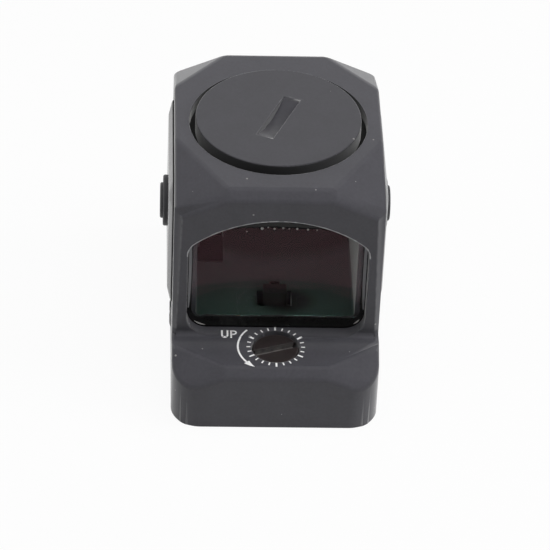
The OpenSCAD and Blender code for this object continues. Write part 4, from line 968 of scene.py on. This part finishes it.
def straight(start, end, steps=8):
    """Points from a start to an end."""
    return np.linspace(start, end, steps)


def round_about(middle, radius, start, end, steps=24):
    """Points on a circle between two angles in degrees."""
    angle = np.radians(np.linspace(start, end, steps))
    return np.asarray(middle) + radius * np.column_stack([np.cos(angle), np.sin(angle)])


print("sill above the deck, mm:", round(SILL - DECK, 2))

# %% [markdown]
# A tick stands every fifteen degrees, and each fourth one is longer and wider. The arrow is an arc and a
# head whose width runs down to its tip. Both share the dial's middle.

# %% Ticks and arrow
TICKS, LONG_EVERY, LONG_FIRST = 24, 4, 2
TICK_START, TICK_END, TICK_WIDTH = 3.42, 3.95, 0.19
LONG_INWARDS, LONG_OUTWARDS, LONG_WIDER = 0.04, 0.2, 0.06
angles = np.radians(np.arange(TICKS) * 360 / TICKS)
tick_ways = np.column_stack([np.cos(angles), np.sin(angles)])
is_long = np.arange(TICKS) % LONG_EVERY == LONG_FIRST
strokes = [
    ribbon(
        straight(DIAL_MIDDLE + way * (TICK_START - LONG_INWARDS * far),
                 DIAL_MIDDLE + way * (TICK_END + LONG_OUTWARDS * far)),
        TICK_WIDTH + LONG_WIDER * far
    )
    for way, far in zip(tick_ways, is_long)
]

ARROW_RADIUS, ARROW_START, ARROW_NECK, ARROW_TIP = 5.12, 138, 219, 235
ARROW_WIDTH, HEAD_WIDTH, TIP_WIDTH, HEAD_STEPS = 0.26, 0.9, 0.02, 12
arrow_arc = round_about(DIAL_MIDDLE, ARROW_RADIUS, ARROW_START, ARROW_NECK + 1, 40)
arrow_head = round_about(DIAL_MIDDLE, ARROW_RADIUS, ARROW_NECK, ARROW_TIP, HEAD_STEPS)
strokes.append(ribbon(arrow_arc, ARROW_WIDTH))
strokes.append(ribbon(arrow_head, np.linspace(HEAD_WIDTH, TIP_WIDTH, HEAD_STEPS)))
print("ticks and arrow, strokes:", len(strokes))

# %% [markdown]
# The word is three strokes: a U of two straights and a half round, the stem of the P, and its bowl. The
# white paint is a little chipped, and all the strokes are one piece.

# %% Word and white paint
STROKE, BOWL_STROKE = 0.25, 0.225
U_LEFT, U_RIGHT, P_STEM, FOOT, HEAD = -7.22, -6.47, -5.98, -14.95, -13.7
P_ARM, U_ROUND, P_ROUND = P_STEM + 0.32, (U_RIGHT - U_LEFT) / 2, (HEAD - FOOT) * 0.28
STEM_TOP, BOWL_FOOT = HEAD + STROKE / 2, HEAD - 2 * P_ROUND
letter_u = np.vstack([
    straight((U_LEFT, STEM_TOP), (U_LEFT, FOOT + U_ROUND))[:-1],
    round_about((U_LEFT + U_ROUND, FOOT + U_ROUND), U_ROUND, 180, 360),
    straight((U_RIGHT, FOOT + U_ROUND), (U_RIGHT, STEM_TOP))[1:],
])
stem = straight((P_STEM, FOOT - STROKE / 2), (P_STEM, STEM_TOP), 12)
bowl = np.vstack([
    straight((P_STEM, HEAD), (P_ARM, HEAD))[:-1],
    round_about((P_ARM, HEAD - P_ROUND), P_ROUND, 90, -90),
    straight((P_ARM, BOWL_FOOT), (P_STEM, BOWL_FOOT))[1:],
])
strokes += [ribbon(letter_u, STROKE), ribbon(stem, STROKE), ribbon(bowl, BOWL_STROKE)]
mark_points, mark_faces = joined(strokes)
marks = mesh_object("deck_marks", mark_points * MM, mark_faces)

white_paint = finish("white_paint", IOR=1.45)
chips = white_paint.noise(white_paint.place(), 0.25, detail=4.0)
white_paint.put(Base_Color=white_paint.mix(chips, grey(0.82), (0.94, 0.94, 0.93, 1)))
white_paint.put(Roughness=0.45 + chips * 0.25)
dress(marks, white_paint, "housing_body", "alloy")
print("strokes:", len(strokes))

# %% [markdown]
# ## Rubber and moulded plastic
#
# The side pads are moulded in grained plastic and the buttons in soft rubber. Mould grain is a cell pattern
# of a third of a millimetre, and rubber has a finer one. Both come from one function. The sides of a pad
# lie in the narrow gap of its pocket and are painted black, as the shade in that gap.

# %% Pads and buttons
def moulded(name, colour, rough, grain_mm, depth_mm, index=1.48):
    """Moulded skin: Voronoi grain as a bump, clouds in its grey, and a worn shine on the eased edges."""
    skin = finish(name, IOR=index)
    place = skin.place()
    cells = {"Vector": place, "Scale": 1 / (grain_mm * MM)}
    grain = skin.node("TexVoronoi", {"feature": "SMOOTH_F1"}, cells)
    cloud = skin.noise(place, 2.5, detail=4.0)
    skin.put(Base_Color=skin.mix(cloud, *shades(colour, 0.8, 1.25)))
    skin.put(Roughness=rough + (cloud - 0.5) * 0.15 - skin.wear() * 0.12)
    skin.put(Normal=skin.bump(grain, depth_mm, strength=0.6))
    return skin


PAD_FACE, PAD_EDGE, PAD_ROUND, PAD_TURN = 14.16, 14.05, 0.2, 10
pad_plastic = moulded("pad_plastic", (0.06, 0.06, 0.063), 0.22, grain_mm=0.35, depth_mm=0.012)
# Painted shade: the pad's sides, in the gap of its pocket, are painted black and dull.
pad_spot = pad_plastic.node("SeparateXYZ", sockets={0: pad_plastic.place()})
pad_gap_shade = pad_plastic.maths("ABSOLUTE", pad_spot) < PAD_FACE * MM
over_base(pad_plastic, pad_gap_shade, BLACK)
dull(pad_plastic, pad_gap_shade)
button_rubber = moulded("button_rubber", (0.035, 0.035, 0.038), 0.5, grain_mm=0.18, depth_mm=0.012)
seal_rubber = moulded("seal_rubber", (0.012, 0.012, 0.012), 0.5, grain_mm=0.12, depth_mm=0.006)
for side in ("left", "right"):
    pad = eased_copy(
        f"{side}_pad_eased", f"{side}_side_pad",
        (PAD_ROUND, PAD_TURN, 1.0, lambda x, y, z: abs(x) > PAD_EDGE)
    )
    dress(pad, pad_plastic, "housing_body", "pad", f"{side}_side_pad")

# %% [markdown]
# ## Metal and electronics inside
#
# The small parts under the covers show when the cap is off or through the bar holes: bright steel contacts,
# balls and springs, a brass carriage, black nuts and screws, a green board. Each gets the trace of how it
# was made.

# %% Inner finishes
def worked_metal(name, colour, rough, metallic=1.0):
    """Bare metal with fine scratches: noise stretched along one axis moves roughness and leans the normal."""
    skin = finish(name, Metallic=metallic)
    scratched = {"Vector": skin.place(), "Scale": [1 / (s * MM) for s in SCRATCH]}
    stretch = skin.node("Mapping", sockets=scratched)
    lines = skin.node("TexNoise", sockets={"Vector": stretch, "Scale": 1.0, "Detail": 4.0})
    tarnish = skin.noise(skin.place(), 1.6, detail=4.0)
    skin.put(Base_Color=skin.mix(tarnish, *shades(colour, 0.82, 1.1)), Roughness=rough + lines * 0.15)
    skin.put(Normal=skin.bump(lines, depth_mm=0.004, strength=0.4))
    return skin


def weave_board(name, colour):
    """Circuit board: glass weave as two crossed sines under a green mask."""
    skin = finish(name, IOR=1.5)
    axes = skin.node("SeparateXYZ", sockets={0: skin.place()})
    waves = 2 * math.pi / (WEAVE * MM)
    weave = skin.maths("SINE", axes * waves) * skin.maths("SINE", axes.also("Y") * waves)
    skin.put(Base_Color=skin.mix(weave * 0.5 + 0.5, *shades(colour, 0.7, 1.3)))
    skin.put(Roughness=0.35 + weave * 0.05, Normal=skin.bump(weave, depth_mm=0.008, strength=0.5))
    return skin


SCRATCH, WEAVE = (6.0, 0.08, 6.0), 0.5
steel = worked_metal("bright_steel", (0.6, 0.6, 0.62), 0.25)
black_oxide = worked_metal("black_oxide", (0.03, 0.03, 0.033), 0.38, metallic=0.3)
brass = worked_metal("machined_brass", (0.55, 0.4, 0.17), 0.28)
board = weave_board("green_board", (0.02, 0.1, 0.04))
block_plastic = moulded("block_plastic", (0.006, 0.006, 0.006), 0.8, grain_mm=0.2, depth_mm=0.01)
chip_plastic = moulded("chip_plastic", (0.02, 0.02, 0.021), 0.45, grain_mm=0.1, depth_mm=0.008)
ribbon_film = moulded("ribbon_film", (0.004, 0.004, 0.004), 0.85, grain_mm=0.3, depth_mm=0.004, index=1.2)
emitter_red = moulded("emitter_red", (0.03, 0.005, 0.004), 0.2, grain_mm=0.3, depth_mm=0.004)
print("materials:", len(bpy.data.materials))

# %% [markdown]
# Every solid has a slot in the record, which names what it is made of. The slot picks its finish, so that a
# solid which was added later is never left bare.

# %% Solids
finishes = {
    "alloy": alloy, "window_glass": window_glass, "lens_glass": lens_glass, "bead": sealant,
    "seal": seal_rubber, "pad": pad_plastic, "button_rubber": button_rubber, "dial": elevation_finish,
    "steel": steel, "black_steel": black_oxide, "brass": brass, "block": block_plastic,
    "emitter": emitter_red, "board": board, "chip": chip_plastic, "ribbon": ribbon_film,
}
for part in frame["record"]["subparts"]:
    solid = frame["nodes"][part["node"]]
    solid.data.materials.clear()
    solid.data.materials.append(finishes[part["material_slot"]].owner)

# %% [markdown]
# ## Springs
#
# Three springs press the carriage and the block of the light against their screws, and they shorten as
# these move. A spring could stretch as a whole, but its two ends belong to two moving parts. Here each is
# only replaced by a smoothly shaded copy in bright steel, which stays where the solid was.

# %% Springs
def giving_spring(node, axis, downwards):
    """A smoothly shaded copy of a spring in bright steel, in place of the solid, which is hidden. The axis
    and the direction pick two ends of its box, which are not used.
    """
    low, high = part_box(node)
    start, end = low.copy(), low.copy()
    (start if downwards else end)[axis] = high[axis]
    spring = eased_copy(f"{node}_giving", node)
    spring.data.materials.append(steel.owner)
    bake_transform(spring)
    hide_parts(node)


giving_spring("elevation_springs", axis=2, downwards=True)
giving_spring("windage_spring", axis=0, downwards=False)
